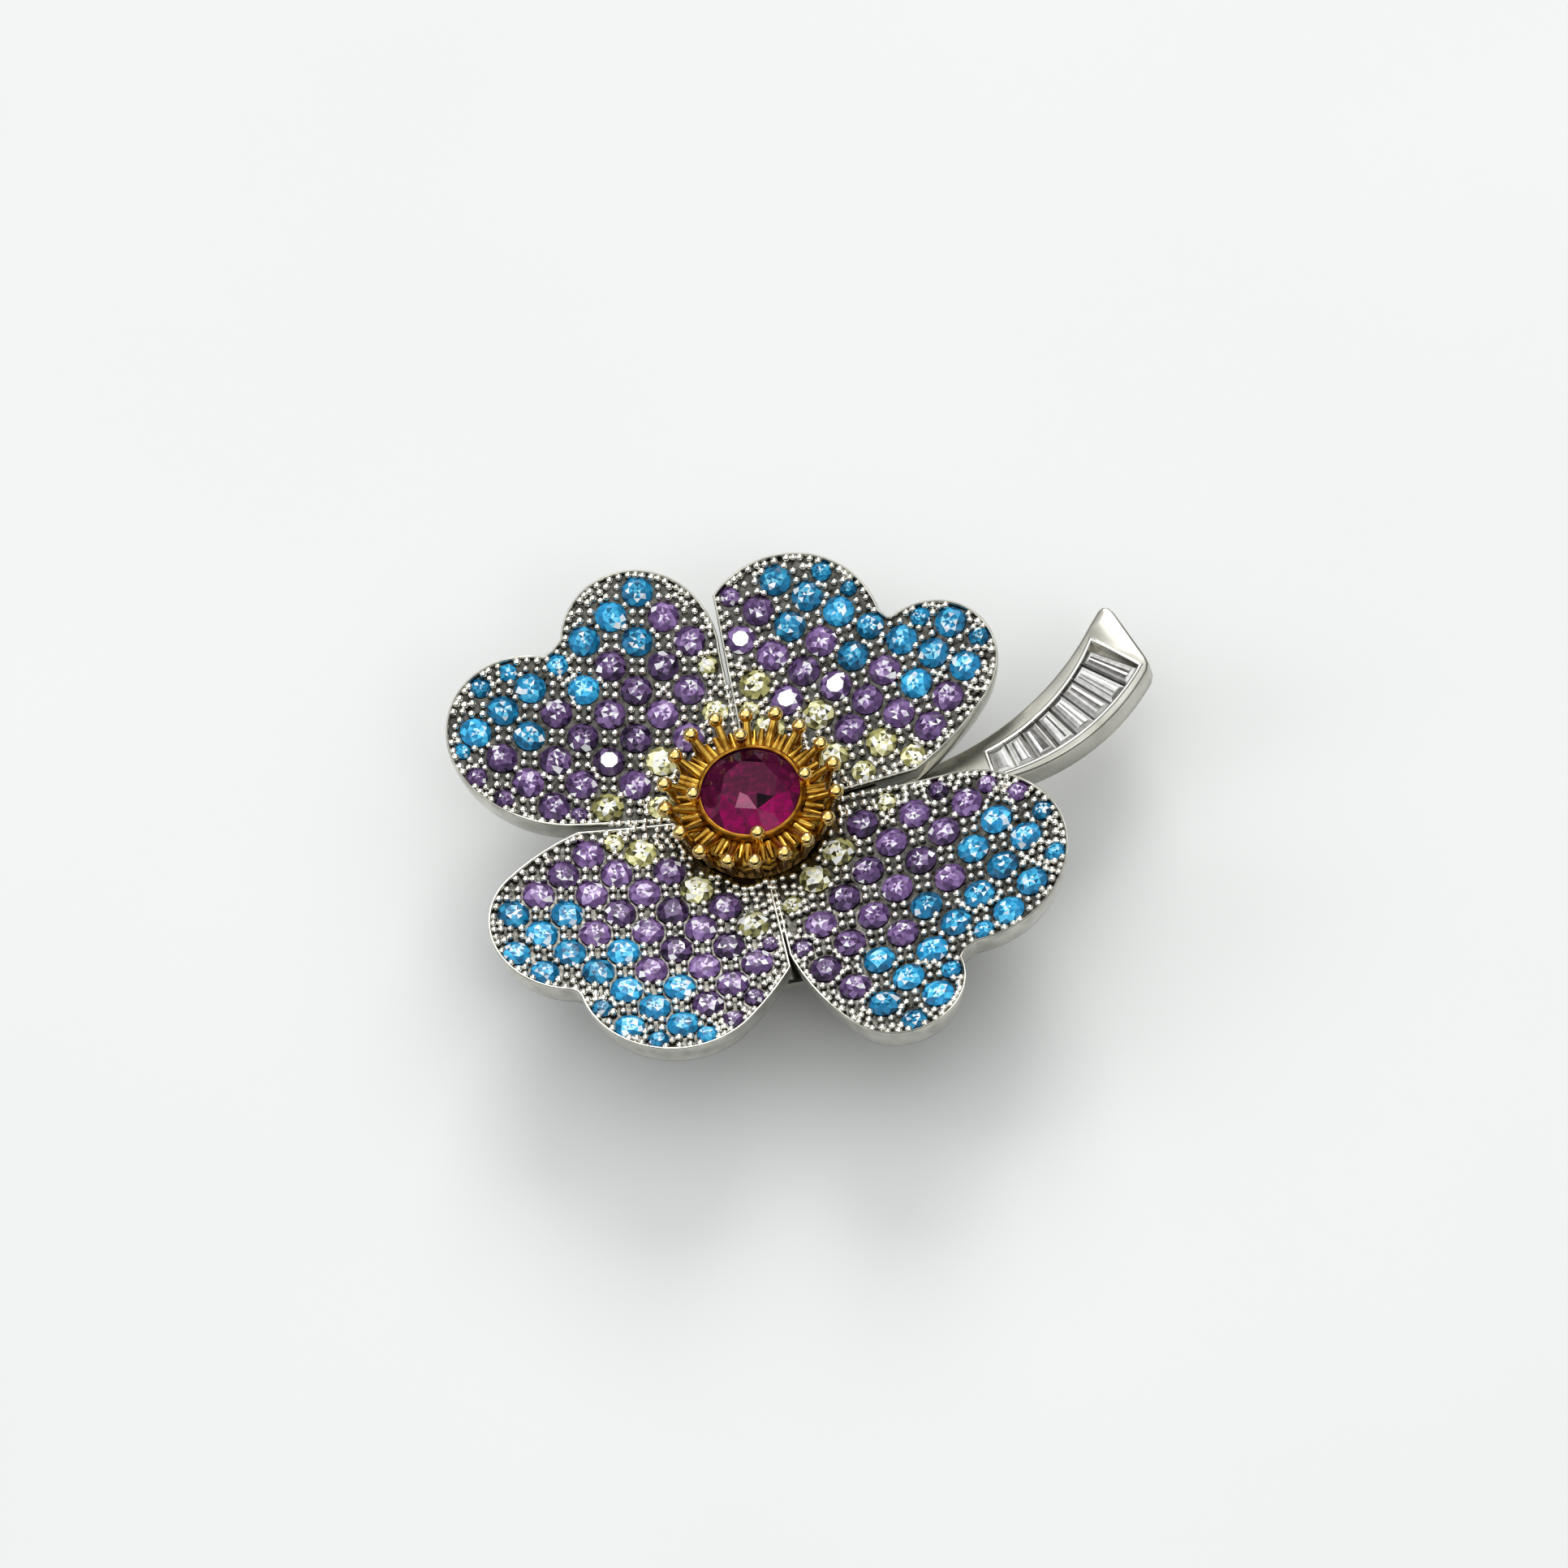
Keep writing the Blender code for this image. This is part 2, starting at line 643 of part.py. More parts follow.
def c_outline(inner_r, outer_r, slot, steps=18):
    """A ring open towards -Y of its own plan, as a closed outline."""
    points = []
    outer_half = math.asin(slot / 2 / outer_r)
    inner_half = math.asin(slot / 2 / inner_r)
    for step in range(steps + 1):
        angle = -math.pi / 2 + outer_half + (2 * math.pi - 2 * outer_half) * step / steps
        points.append((outer_r * math.cos(angle), outer_r * math.sin(angle)))
    for step in range(steps + 1):
        angle = 1.5 * math.pi - inner_half - (2 * math.pi - 2 * inner_half) * step / steps
        points.append((inner_r * math.cos(angle), inner_r * math.sin(angle)))
    return points


def along_y(bm):
    """Stand a flat solid up, so that its plan lies in XZ and its depth along Y."""
    bmesh.ops.rotate(bm, verts=bm.verts, cent=(0, 0, 0), matrix=Matrix.Rotation(math.pi / 2, 3, "X"))
    return bm


def build_bar_pin():
    half_w = BAR_W / 2
    bar = box_bm((-half_w, -BAR_HALF_L, 0), (half_w, BAR_HALF_L, BAR_T))
    bar_piece = add_piece("pin_bar", bar, RHODIUM)
    edge = bar_piece.modifiers.new("edges", "BEVEL")
    edge.width = 0.15 * MM
    edge.segments = 1

    ear_x = EYE_W / 2 + 0.08 * MM
    base = box_bm((-ear_x - EAR_T, HINGE_Y - EAR_R, -0.46 * MM),
                  (ear_x + EAR_T, HINGE_Y + EAR_R, -GAP))
    bracket = add_piece("hinge_bracket", base, RHODIUM)
    ears = bmesh.new()
    for sign in (-1, 1):
        start = Vector((sign * ear_x, HINGE_Y, PIN_Z))
        end = Vector((sign * (ear_x + EAR_T), HINGE_Y, PIN_Z))
        rod_bm(start, end, EAR_R, 20, ears)
    boolean(bracket, add_cutter("ear_rounds", ears), "UNION")
    for sign, side in ((-1, "left"), (1, "right")):
        near, far = sorted((sign * ear_x, sign * (ear_x + EAR_T)))
        web = box_bm((near, HINGE_Y - 0.6 * MM, PIN_Z), (far, HINGE_Y + 0.6 * MM, -0.3 * MM))
        boolean(bracket, add_cutter("ear_web_" + side, web), "UNION")
    reach = Vector((2 * MM, 0, 0))
    axis = Vector((0, HINGE_Y, PIN_Z))
    hole = add_cutter("ear_hole", rod_bm(axis - reach, axis + reach, RIVET_HOLE_R, 20))
    boolean(bracket, hole, "DIFFERENCE")

    half = Vector((ear_x + EAR_T + 0.15 * MM, 0, 0))
    rivet = rod_bm(axis - half, axis + half, RIVET_R, 20)
    add_piece("hinge_rivet", rivet, STEEL, smooth=True)

    length = HINGE_Y - PIN_TIP_Y
    wire = [(0, -0.1 * MM - EYE_R / 2), (WIRE_R, -0.1 * MM - EYE_R / 2),
            (WIRE_R, 2.2 * MM - length), (0.05 * MM, -length), (0, -length)]
    pin = turned("pin_stem", wire, STEEL, 12)
    pin.location = axis
    pin.rotation_euler = (-math.pi / 2, 0, 0)
    eye_half = Vector((EYE_W / 2, 0, 0))
    eye = add_cutter("pin_eye", rod_bm(axis - eye_half, axis + eye_half, EYE_R, 20))
    boolean(pin, eye, "UNION")
    boolean(pin, hole, "DIFFERENCE")

    spot = Vector((0, CATCH_Y, PIN_Z))
    ring = along_y(flat_solid(c_outline(CATCH_IN_R, CATCH_OUT_R, CATCH_SLOT), -CATCH_L / 2, CATCH_L / 2))
    body = add_piece("catch_body", ring, RHODIUM)
    body.location = spot
    foot = box_bm((-0.8 * MM, CATCH_Y - CATCH_L / 2 + 0.1 * MM, -0.72 * MM),
                  (0.8 * MM, CATCH_Y + CATCH_L / 2 - 0.1 * MM, -GAP))
    boolean(body, add_cutter("catch_foot", foot), "UNION")

    sleeve = along_y(flat_solid(c_outline(ROTOR_IN_R, ROTOR_OUT_R, ROTOR_SLOT), -ROTOR_L / 2, ROTOR_L / 2))
    bmesh.ops.translate(sleeve, verts=sleeve.verts, vec=(0, -0.1 * MM, 0))
    rotor = add_piece("catch_rotor", sleeve, RHODIUM)
    rotor.location = spot
    tab_turn = polar(1.0, TAB_ANGLE)
    outer_end = CATCH_Y - 0.1 * MM - ROTOR_L / 2 + 0.2 * MM
    tab_in = Vector((tab_turn.x, 0, tab_turn.y)) * 0.74 * MM
    tab_out = Vector((tab_turn.x, 0, tab_turn.y)) * TAB_REACH
    origin = Vector((0, outer_end, PIN_Z))
    tab = rod_bm(origin + tab_in, origin + tab_out, 0.17 * MM, 8)
    boolean(rotor, add_cutter("rotor_tab", tab), "UNION")


clear_scene()
PIECES = make_collection("flower_brooch")
CUTTERS = make_collection("cutters")
CROWN_CUT = add_cutter("crown_cut", axis_cylinder(CROWN_CLEAR_R, 0, 9 * MM))
CROWN_CUT_WIDE = add_cutter("crown_cut_wide", axis_cylinder(CROWN_CLEAR_R + GAP, 0, 9 * MM))
for petal_name in PETALS:
    build_petal(petal_name)
build_centre()
build_stem()
build_bar_pin()
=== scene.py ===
"""Looks of the jewelled flower brooch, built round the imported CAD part.

Everything is in metres in the part's own frame: +Z is the flower's axis,
+X is towards the stem, and the origin is on the back face of the pin bar.
"""
import math
import random

import bmesh
import bpy
from mathutils import Matrix, Vector


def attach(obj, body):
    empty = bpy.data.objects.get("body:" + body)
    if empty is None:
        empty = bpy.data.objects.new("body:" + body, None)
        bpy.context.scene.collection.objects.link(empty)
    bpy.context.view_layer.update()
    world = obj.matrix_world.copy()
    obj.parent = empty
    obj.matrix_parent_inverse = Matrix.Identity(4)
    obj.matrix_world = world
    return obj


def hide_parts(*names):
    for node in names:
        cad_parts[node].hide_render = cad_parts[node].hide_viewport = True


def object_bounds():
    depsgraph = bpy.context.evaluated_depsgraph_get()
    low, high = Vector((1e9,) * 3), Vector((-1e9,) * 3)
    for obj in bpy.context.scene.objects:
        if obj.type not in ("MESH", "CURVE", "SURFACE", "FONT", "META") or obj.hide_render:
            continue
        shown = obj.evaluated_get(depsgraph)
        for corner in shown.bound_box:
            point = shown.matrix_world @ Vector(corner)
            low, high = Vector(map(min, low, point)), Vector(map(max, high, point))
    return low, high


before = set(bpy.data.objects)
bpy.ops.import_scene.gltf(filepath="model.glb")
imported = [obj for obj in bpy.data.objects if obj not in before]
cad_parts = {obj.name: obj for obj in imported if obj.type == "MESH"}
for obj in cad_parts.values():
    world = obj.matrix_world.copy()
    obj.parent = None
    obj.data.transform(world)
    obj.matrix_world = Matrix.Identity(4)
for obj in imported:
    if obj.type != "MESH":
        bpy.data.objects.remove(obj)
CAD_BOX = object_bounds()

MM = 0.001
GAP = 0.06 * MM

# Levels and sizes that repeat the part's
BOWL_Z = 4.12 * MM
BOWL_R = 62.0 * MM
GIRDLE_Z = BOWL_Z + 2.2 * MM
PETAL_T = 2.2 * MM
PETALS = {   # notch azimuth, distance and fill; half width, lobe offset and side radius, left then right
    "nw": (130.0, 15.0, 1.0, (10.06, 4.8, 7.7), (8.34, 3.8, 5.7)),
    "ne": (47.4, 14.0, 0.6, (9.81, 4.18, 10.2), (8.08, 3.98, 16.5)),
    "se": (-50.6, 15.7, 1.1, (10.97, 5.02, 6.5), (7.59, 3.77, 16.3)),
    "sw": (-137.3, 16.0, 0.3, (9.12, 3.51, 20.5), (8.21, 3.43, 14.4)),
}
NOTCH_DIP = 0.1
SEAMS = {    # azimuths of a petal's right and left seam
    "nw": (91.0, 178.5),
    "ne": (2.5, 91.0),
    "se": (-87.0, 2.5),
    "sw": (-181.5, -87.0),
}
LATTICES = {  # place of the stone in column 0, row 0; azimuth and pitch of the rows, then of the columns
    "nw": ((-8.69, 9.56), (126.7, 2.15), (36.1, 2.22)),
    "ne": ((7.35, 8.79), (50.4, 2.07), (-38.8, 2.16)),
    "se": ((8.91, -8.81), (-49.0, 2.26), (-136.8, 2.24)),
    "sw": ((-8.87, -8.28), (-142.4, 2.02), (133.7, 2.09)),
}
LOBE_STEPS = 26
SIDE_STEPS = 12
SHORTEST_EDGE = 0.14 * MM
LONGEST_EDGE = 0.9 * MM
CROWN_CLEAR_R = 4.5 * MM
HOLLOW_WALL = 0.7 * MM
HOLLOW_TOP = 1.05 * MM
HOLLOW_START_R = 9.0 * MM
RIM_PROFILE = (   # inset and depth below the rim's top, in mm, from the back up and over
    (0.46, 2.20), (0.4, 2.18), (0.34, 2.1), (0.16, 1.5), (0.05, 0.9), (0.0, 0.3), (0.0, 0.14),
    (0.015, 0.06), (0.05, 0.01), (0.09, 0.0), (0.13, 0.01), (0.165, 0.05), (0.18, 0.12), (0.19, 0.33))
DECK_SCALES = (0.88, 0.76, 0.64, 0.52, 0.4, 0.28, 0.14)
DECK_DEPTH = 0.33 * MM
# Deck faces get a near-black copy of the rhodium: painted shade between the stones and beads.
DECK_FACES = (0.2 * MM, 0.5 * MM)  # depths between which a face belongs to the deck
HOLE_R = 0.52 * MM                 # of a hole in the back deck, one behind each stone
HOLE_DEPTH = 1.6 * MM
HOLE_SIDES = 20
ROUND_SIDES = 96                   # of the wide round cutters
CUTTER_HEIGHT = 9 * MM

STONE_R = 0.95 * MM
STONE_LEAST_R = 0.44 * MM
RIM_STONE_R = 0.62 * MM            # stones pushed in from the rim
PUSH_MOST = 1.05 * MM
STONE_MIN_R = 5.5 * MM
STONE_TO_RIM = 0.24 * MM
STONE_TOP = 0.02 * MM              # table above the rim's level
STONE_TABLE = 0.56                 # shares of the stone's radius
STONE_PAVILION = 0.72
STONE_CROWN = 0.24 * MM
STONE_GIRDLE = 0.04 * MM
# LIVELY spreads a colour's painted bright and dark facets and raises its share of painted white glints.
LIVELY = {"blue": 1.15, "purple": 1.15, "yellow": 1.7}   # how much a colour's facets differ
BEAD_R = 0.245 * MM
BEAD_SINK = 0.17 * MM
BEAD_OFFSET = 0.44 * MM            # of a bead from the middle of its gap
BEAD_SPACING = 0.4 * MM
BEAD_SHIFT = 0.035                 # most that a bead strays along x and y, in mm
BEAD_TO_RIM = 0.13 * MM
BEAD_TO_CROWN = 0.25 * MM
RIM_ROW_FIRST = 0.29 * MM
RIM_ROW_STEP = 0.43 * MM
RIM_ROWS = 9
SEAM_ROW = 0.08 * MM
SEAM_BEADS_R = 8.6 * MM            # beads cover the seams inside this radius

CROWN_PRONGS = 18
CROWN_FIRST = 5.0
CROWN_TOP_R = 5.05 * MM
CROWN_TOP_Z = GIRDLE_Z + 0.7 * MM
BALL_R = 0.46 * MM
CLAW_FOOT_Z = BOWL_Z - 0.39 * MM
CROWN_STEPS = 14
CROWN_PROFILE = (   # radius and height from the girdle, depth of the flutes
    (3.27, -2.65, 0.0), (3.27, -0.7, 0.0), (3.31, -0.6, 0.01), (3.42, -0.6, 0.03), (3.6, -0.74, 0.05),
    (3.85, -0.94, 0.07), (4.08, -1.12, 0.09), (4.24, -1.26, 0.1), (4.33, -1.4, 0.1), (4.34, -1.6, 0.1),
    (4.27, -1.8, 0.09), (4.14, -2.2, 0.06), (4.04, -2.65, 0.03), (3.98, -3.15, 0.0), (2.69, -3.15, 0.0),
    (2.69, -4.95, 0.0))
CROWN_POSTS = (     # radius and height of the foot, thickness at foot and ball
    (3.32, -0.36, 0.32, 0.2), (4.2, -2.2, 0.3, 0.18))
RIB_TURNS = (0.34, 0.66)           # of the way from post to post
BEZEL_PROFILE = (   # radius and height from the girdle
    (2.62, -0.95), (3.1, -0.98), (3.22, -0.9), (3.25, -0.6), (3.24, -0.1), (3.19, 0.15), (3.1, 0.26),
    (3.0, 0.29), (2.93, 0.25), (2.93, 0.19), (3.04, 0.13), (3.04, -0.3), (2.75, -0.62), (2.62, -0.8))
BEZEL_STEPS = 64
CLAWS = 4
CLAW_TOP_R = 3.32 * MM
CLAW_TOP_Z = GIRDLE_Z + 1.05 * MM
RUBY_R = 3.0 * MM
RUBY_TABLE_R = 1.7 * MM
RUBY_CROWN = 0.83 * MM
RUBY_GIRDLE = 0.24 * MM
RUBY_PAVILION = 2.2 * MM
RUBY_TOP = 0.95 * MM
RUBY_TURN = 7.0

STEM_MATRIX = (Matrix.Translation((0, 0, 1.21 * MM)) @ Matrix.Rotation(math.radians(22), 4, "Z")
               @ Matrix.Rotation(math.radians(-7), 4, "Y"))
STEM_LEFT = ((14.4, 14.34), 16.96)
STEM_RIGHT = ((18.12, 6.46), 12.9)
RAIL_LEFT = ((15.36, 8.86), 12.46)
RAIL_RIGHT = ((17.92, 7.27), 13.1)
STEM_TIP = ((24.9, -4.35), (25.0, -3.9), (25.05, -0.25), (24.95, 0.25), (24.65, 0.5), (24.3, 0.45))
STEM_PROFILE = (    # inset and height, from the back up
    (0.16, -1.9), (0.05, -1.86), (0.0, -1.75), (0.0, -0.3), (0.03, -0.15), (0.1, -0.05), (0.2, 0.0))
LIP_PROFILE = (     # inset from the recess's edge, and height
    (0.02, -0.35), (0.02, 0.03), (-0.04, 0.08), (-0.13, 0.08), (-0.19, 0.02), (-0.19, -0.06))
RECESS_END = -55.0
STEM_PIVOT = (16.6, 8.0)
BAGUETTES = 8
BAGUETTE_START = -103.0
BAGUETTE_END = -57.5
BAGUETTE_JOINT = 0.1               # half the angle between neighbours
BAGUETTE_LEVELS = (    # inset and height, from the back up
    (0.05, -0.94), (0.05, -0.32), (0.15, -0.2), (0.28, -0.1), (0.34, -0.08))
BAGUETTE_STRIPS = 4
BAGUETTE_RIDGE = 0.03 * MM
PLATE_R = 7.5 * MM

# Colours, linear: the deep, middle, bright and glow tones of each stone. A facet's painted tone picks
# among them, standing in for the light inside the stone.
BLUE = ((0.002, 0.045, 0.1), (0.012, 0.22, 0.46), (0.07, 0.5, 0.8), (0.5, 0.88, 0.97))
PURPLE = ((0.01, 0.004, 0.02), (0.11, 0.056, 0.17), (0.27, 0.17, 0.38), (0.68, 0.56, 0.78))
YELLOW = ((0.03, 0.026, 0.008), (0.42, 0.4, 0.15), (0.95, 0.93, 0.58), (1.0, 1.0, 0.95))
RUBY = ((0.006, 0.0, 0.003), (0.075, 0.005, 0.03), (0.36, 0.0, 0.11), (0.9, 0.2, 0.45))
CLEAR = ((0.07, 0.065, 0.06), (0.3, 0.29, 0.28), (0.62, 0.62, 0.61), (0.95, 0.95, 0.94))


# Meshes from lists ---------------------------------------------------------

class Shell:
    """Vertices, faces and a tone for each face, gathered for one piece."""

    def __init__(self):
        self.verts = []
        self.faces = []
        self.tones = []

    def add(self, verts, faces, tones):
        start = len(self.verts)
        self.verts += verts
        self.faces += [[start + index for index in face] for face in faces]
        self.tones += tones


def piece_from(name, mesh, material, stands_for=(), body="flower", second=None):
    obj = bpy.data.objects.new(name, mesh)
    bpy.context.scene.collection.objects.link(obj)
    mesh.materials.clear()
    mesh.materials.append(material)
    if second:
        mesh.materials.append(second)
    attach(obj, body)
    if stands_for:
        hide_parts(*stands_for)
    return obj


def shell_mesh(name, shell, smooth=None):
    mesh = bpy.data.meshes.new(name)
    mesh.from_pydata([tuple(v) for v in shell.verts], [], shell.faces)
    tones = mesh.color_attributes.new("tone", "FLOAT_COLOR", "CORNER")
    values = []
    for face, tone in zip(shell.faces, shell.tones):
        values += [*tone, 1.0] * len(face)
    tones.data.foreach_set("color", values)
    if smooth:
        mesh.shade_smooth()
        mesh.set_sharp_from_angle(angle=math.radians(smooth))
    mesh.validate()
    return mesh


def bm_mesh(name, bm, smooth=None):
    bmesh.ops.recalc_face_normals(bm, faces=bm.faces)
    mesh = bpy.data.meshes.new(name)
    bm.to_mesh(mesh)
    bm.free()
    if smooth:
        mesh.shade_smooth()
        mesh.set_sharp_from_angle(angle=math.radians(smooth))
    return mesh


def cut_mesh(name, mesh, cutters, smooth):
    """The mesh after its cutters are taken away."""
    obj = bpy.data.objects.new(name, mesh)
    bpy.context.scene.collection.objects.link(obj)
    extra = []
    for index, cutter in enumerate(cutters):
        tool = bpy.data.objects.new(name + "_cut_" + str(index), cutter)
        bpy.context.scene.collection.objects.link(tool)
        extra.append(tool)
        modifier = obj.modifiers.new("cut", "BOOLEAN")
        modifier.operation = "DIFFERENCE"
        modifier.solver = "MANIFOLD"
        modifier.object = tool
    bpy.context.view_layer.update()
    evaluated = obj.evaluated_get(bpy.context.evaluated_depsgraph_get())
    result = bpy.data.meshes.new_from_object(evaluated)
    for item in [obj, *extra]:
        bpy.data.objects.remove(item, do_unlink=True)
    result.name = name
    result.shade_smooth()
    result.set_sharp_from_angle(angle=math.radians(smooth))
    return result


# Node materials ------------------------------------------------------------

class Look:
    """A node material under construction."""

    def __init__(self, name):
        self.material = bpy.data.materials.new(name)
        self.material.use_nodes = True
        self.tree = self.material.node_tree
        self.shader = self.tree.nodes["Principled BSDF"]

    def node(self, kind, **settings):
        made = self.tree.nodes.new(kind)
        for key, value in settings.items():
            setattr(made, key, value)
        return made

    def link(self, a, b):
        self.tree.links.new(a, b)

    def place(self):
        return self.node("ShaderNodeTexCoord").outputs["Object"]

    def noise(self, scale, detail=3.0, stretch=None):
        texture = self.node("ShaderNodeTexNoise")
        texture.inputs["Scale"].default_value = scale
        texture.inputs["Detail"].default_value = detail
        place = self.place()
        if stretch:
            mapping = self.node("ShaderNodeMapping")
            mapping.inputs["Scale"].default_value = stretch
            self.link(place, mapping.inputs["Vector"])
            place = mapping.outputs["Vector"]
        self.link(place, texture.inputs["Vector"])
        return texture.outputs["Fac"]

    def ramp(self, factor, stops):
        made = self.node("ShaderNodeValToRGB")
        elements = made.color_ramp.elements
        while len(elements) < len(stops):
            elements.new(0.5)
        for element, (position, colour) in zip(elements, stops):
            element.position = position
            element.color = (*colour, 1.0)
        self.link(factor, made.inputs["Fac"])
        return made.outputs["Color"]

    def span(self, factor, low, high, start=0.0, end=1.0):
        made = self.node("ShaderNodeMapRange")
        made.inputs["From Min"].default_value = start
        made.inputs["From Max"].default_value = end
        made.inputs["To Min"].default_value = low
        made.inputs["To Max"].default_value = high
        self.link(factor, made.inputs["Value"])
        return made.outputs["Result"]

    def mix(self, factor, a, b, blend="MIX"):
        made = self.node("ShaderNodeMix", data_type="RGBA", blend_type=blend)
        if isinstance(factor, float):
            made.inputs[0].default_value = factor
        else:
            self.link(factor, made.inputs[0])
        for socket, value in ((made.inputs[6], a), (made.inputs[7], b)):
            if isinstance(value, tuple):
                socket.default_value = (*value, 1.0)
            else:
                self.link(value, socket)
        return made.outputs[2]

    def tone(self):
        attribute = self.node("ShaderNodeAttribute", attribute_name="tone")
        split = self.node("ShaderNodeSeparateColor")
        self.link(attribute.outputs["Color"], split.inputs["Color"])
        return split.outputs

    def bump(self, height, distance, strength=1.0):
        made = self.node("ShaderNodeBump")
        made.inputs["Distance"].default_value = distance
        made.inputs["Strength"].default_value = strength
        self.link(height, made.inputs["Height"])
        self.link(made.outputs["Normal"], self.shader.inputs["Normal"])

    def set(self, **values):
        for key, value in values.items():
            self.shader.inputs[key.replace("_", " ")].default_value = value


def metal(name, dark, light, rough, scale=900.0, bump=0.000004, stretch=None):
    look = Look(name)
    patches = look.noise(scale, 4.0, stretch)
    look.link(look.ramp(patches, ((0.3, dark), (0.7, light))), look.shader.inputs["Base Color"])
    look.link(look.span(look.noise(scale * 2.3, 5.0, stretch), *rough), look.shader.inputs["Roughness"])
    look.set(Metallic=1.0)
    look.bump(look.noise(scale * 0.6, 2.0, stretch), bump)
    return look.material


def bead_metal(name, dark, light):
    """Polished beads, each a little different, in a lighter copy of the rhodium: a painted highlight."""
    look = Look(name)
    tone = look.tone()
    look.link(look.ramp(tone[0], ((0.0, dark), (1.0, light))), look.shader.inputs["Base Color"])
    look.link(look.span(look.noise(5000.0), 0.05, 0.2), look.shader.inputs["Roughness"])
    look.set(Metallic=1.0)
    look.bump(look.noise(4200.0, 2.0), 0.000008)
    return look.material


def gem(name, colours, metallic, roughness=0.1, ior=1.28):
    """Cut stone with painted light: each facet has its own painted tone, standing in for the light
    inside the stone, and some flash with painted white glints.
    """
    look = Look(name)
    tone = look.tone()
    deep, middle, bright, glow = colours
    cloud = look.span(look.noise(2600.0, 2.0), -0.1, 0.1, 0.3, 0.7)
    total = look.node("ShaderNodeMath", operation="ADD")
    look.link(tone[0], total.inputs[0])
    look.link(cloud, total.inputs[1])
    colour = look.ramp(total.outputs[0], ((0.0, deep), (0.42, middle), (0.75, bright), (1.0, glow)))
    # The per-stone shade multiplies the colour: random lightness on the small stones and baguettes, and
    # on the ruby painted light, lighter on the side towards -Y.
    shade = look.span(tone[2], 0.7, 1.2)
    colour = look.mix(1.0, colour, shade, "MULTIPLY")
    # Mixing towards white by the tone's second channel paints the white glints, and on the ruby a faint
    # painted veil.
    colour = look.mix(tone[1], colour, (0.95, 0.96, 0.97))
    look.link(colour, look.shader.inputs["Base Color"])
    gloss = look.span(look.noise(7000.0), roughness * 0.6, roughness * 1.5)
    look.link(gloss, look.shader.inputs["Roughness"])
    look.set(Metallic=metallic, IOR=ior)
    return look.material


# Plan shapes ---------------------------------------------------------------

def polar(radius, degrees):
    angle = math.radians(degrees)
    return Vector((radius * math.cos(angle), radius * math.sin(angle)))


def petal_side(half_width, lobe_offset, side_radius, sign, fill):
    """One half of a heart, from the filled notch round the lobe and down the side."""
    lobe_r = half_width - lobe_offset
    lobe_v = -math.sqrt(lobe_r ** 2 - lobe_offset ** 2)
    notch_angle = math.pi - math.asin((fill - lobe_v) / lobe_r)
    points = []
    for step in range(LOBE_STEPS + 1):
        angle = notch_angle * (1 - step / LOBE_STEPS)
        u = lobe_offset + lobe_r * math.cos(angle)
        points.append((sign * u, lobe_v + lobe_r * math.sin(angle)))
    for step in range(1, SIDE_STEPS + 1):
        angle = math.radians(45) * step / SIDE_STEPS
        u = half_width - side_radius * (1 - math.cos(angle))
        points.append((sign * u, lobe_v - side_radius * math.sin(angle)))
    return points


def petal_frame(name):
    azimuth, notch_r = PETALS[name][:2]
    outward = polar(1.0, azimuth)
    rightward = Vector((outward.y, -outward.x))
    return outward * notch_r * MM, outward, rightward


def on_petal(name, u, v):
    notch, outward, rightward = petal_frame(name)
    return notch + rightward * u + outward * v


def clip(points, normal, offset):
    """Keep the part of a polygon where point . normal >= offset."""
    kept = []
    for here, after in zip(points, points[1:] + points[:1]):
        a = here.dot(normal) - offset
        b = after.dot(normal) - offset
        if a >= 0:
            kept.append(here)
        if (a > 0 > b) or (a < 0 < b):
            kept.append(here.lerp(after, a / (a - b)))
    return kept


def drop_short_edges(points):
    kept = [points[0]]
    for point in points[1:]:
        if (point - kept[-1]).length > SHORTEST_EDGE:
            kept.append(point)
    if (kept[0] - kept[-1]).length < SHORTEST_EDGE:
        kept.pop()
    return kept


def split_long_edges(points):
    dense = []
    for here, after in zip(points, points[1:] + points[:1]):
        parts = math.ceil((after - here).length / LONGEST_EDGE)
        dense += [here.lerp(after, part / parts) for part in range(parts)]
    return dense


def inset(points, distance):
    """Move a counter-clockwise polygon's edges inward."""
    moved = []
    count = len(points)
    for index, point in enumerate(points):
        before = (point - points[index - 1]).normalized()
        after = (points[(index + 1) % count] - point).normalized()
        normal_a = Vector((-before.y, before.x))
        normal_b = Vector((-after.y, after.x))
        middle = (normal_a + normal_b).normalized()
        stretch = min(1 / max(middle.dot(normal_a), 0.4), 1.6)
        moved.append(point + middle * distance * stretch)
    return moved


def petal_outline(name):
    _, _, fill, left, right = PETALS[name]
    flat = petal_side(*right, 1, fill)[::-1] + [(0.0, fill - NOTCH_DIP)] + petal_side(*left, -1, fill)
    points = [on_petal(name, u * MM, v * MM) for u, v in flat]
    points.append(Vector((0.0, 0.0)))
    right_seam, left_seam = SEAMS[name]
    points = clip(points, polar(1.0, right_seam + 90), GAP / 2)
    points = clip(points, polar(1.0, left_seam - 90), GAP / 2)
    return drop_short_edges(points)


def nearest_on(point, polygon):
    """The place on a polygon's edges that is nearest to a point."""
    places = []
    for here, after in zip(polygon, polygon[1:] + polygon[:1]):
        edge = after - here
        share = min(max((point - here).dot(edge) / edge.length_squared, 0), 1)
        places.append(here + edge * share)
    return min(places, key=lambda place: (place - point).length_squared)


def edge_distance(point, polygon):
    return (nearest_on(point, polygon) - point).length


def inside(point, polygon):
    found = False
    for here, after in zip(polygon, polygon[1:] + polygon[:1]):
        if (here.y > point.y) != (after.y > point.y):
            share = (point.y - here.y) / (after.y - here.y)
            if point.x < here.x + share * (after.x - here.x):
                found = not found
    return found


def bowl_z(point):
    return BOWL_Z + point.length_squared / (2 * BOWL_R)


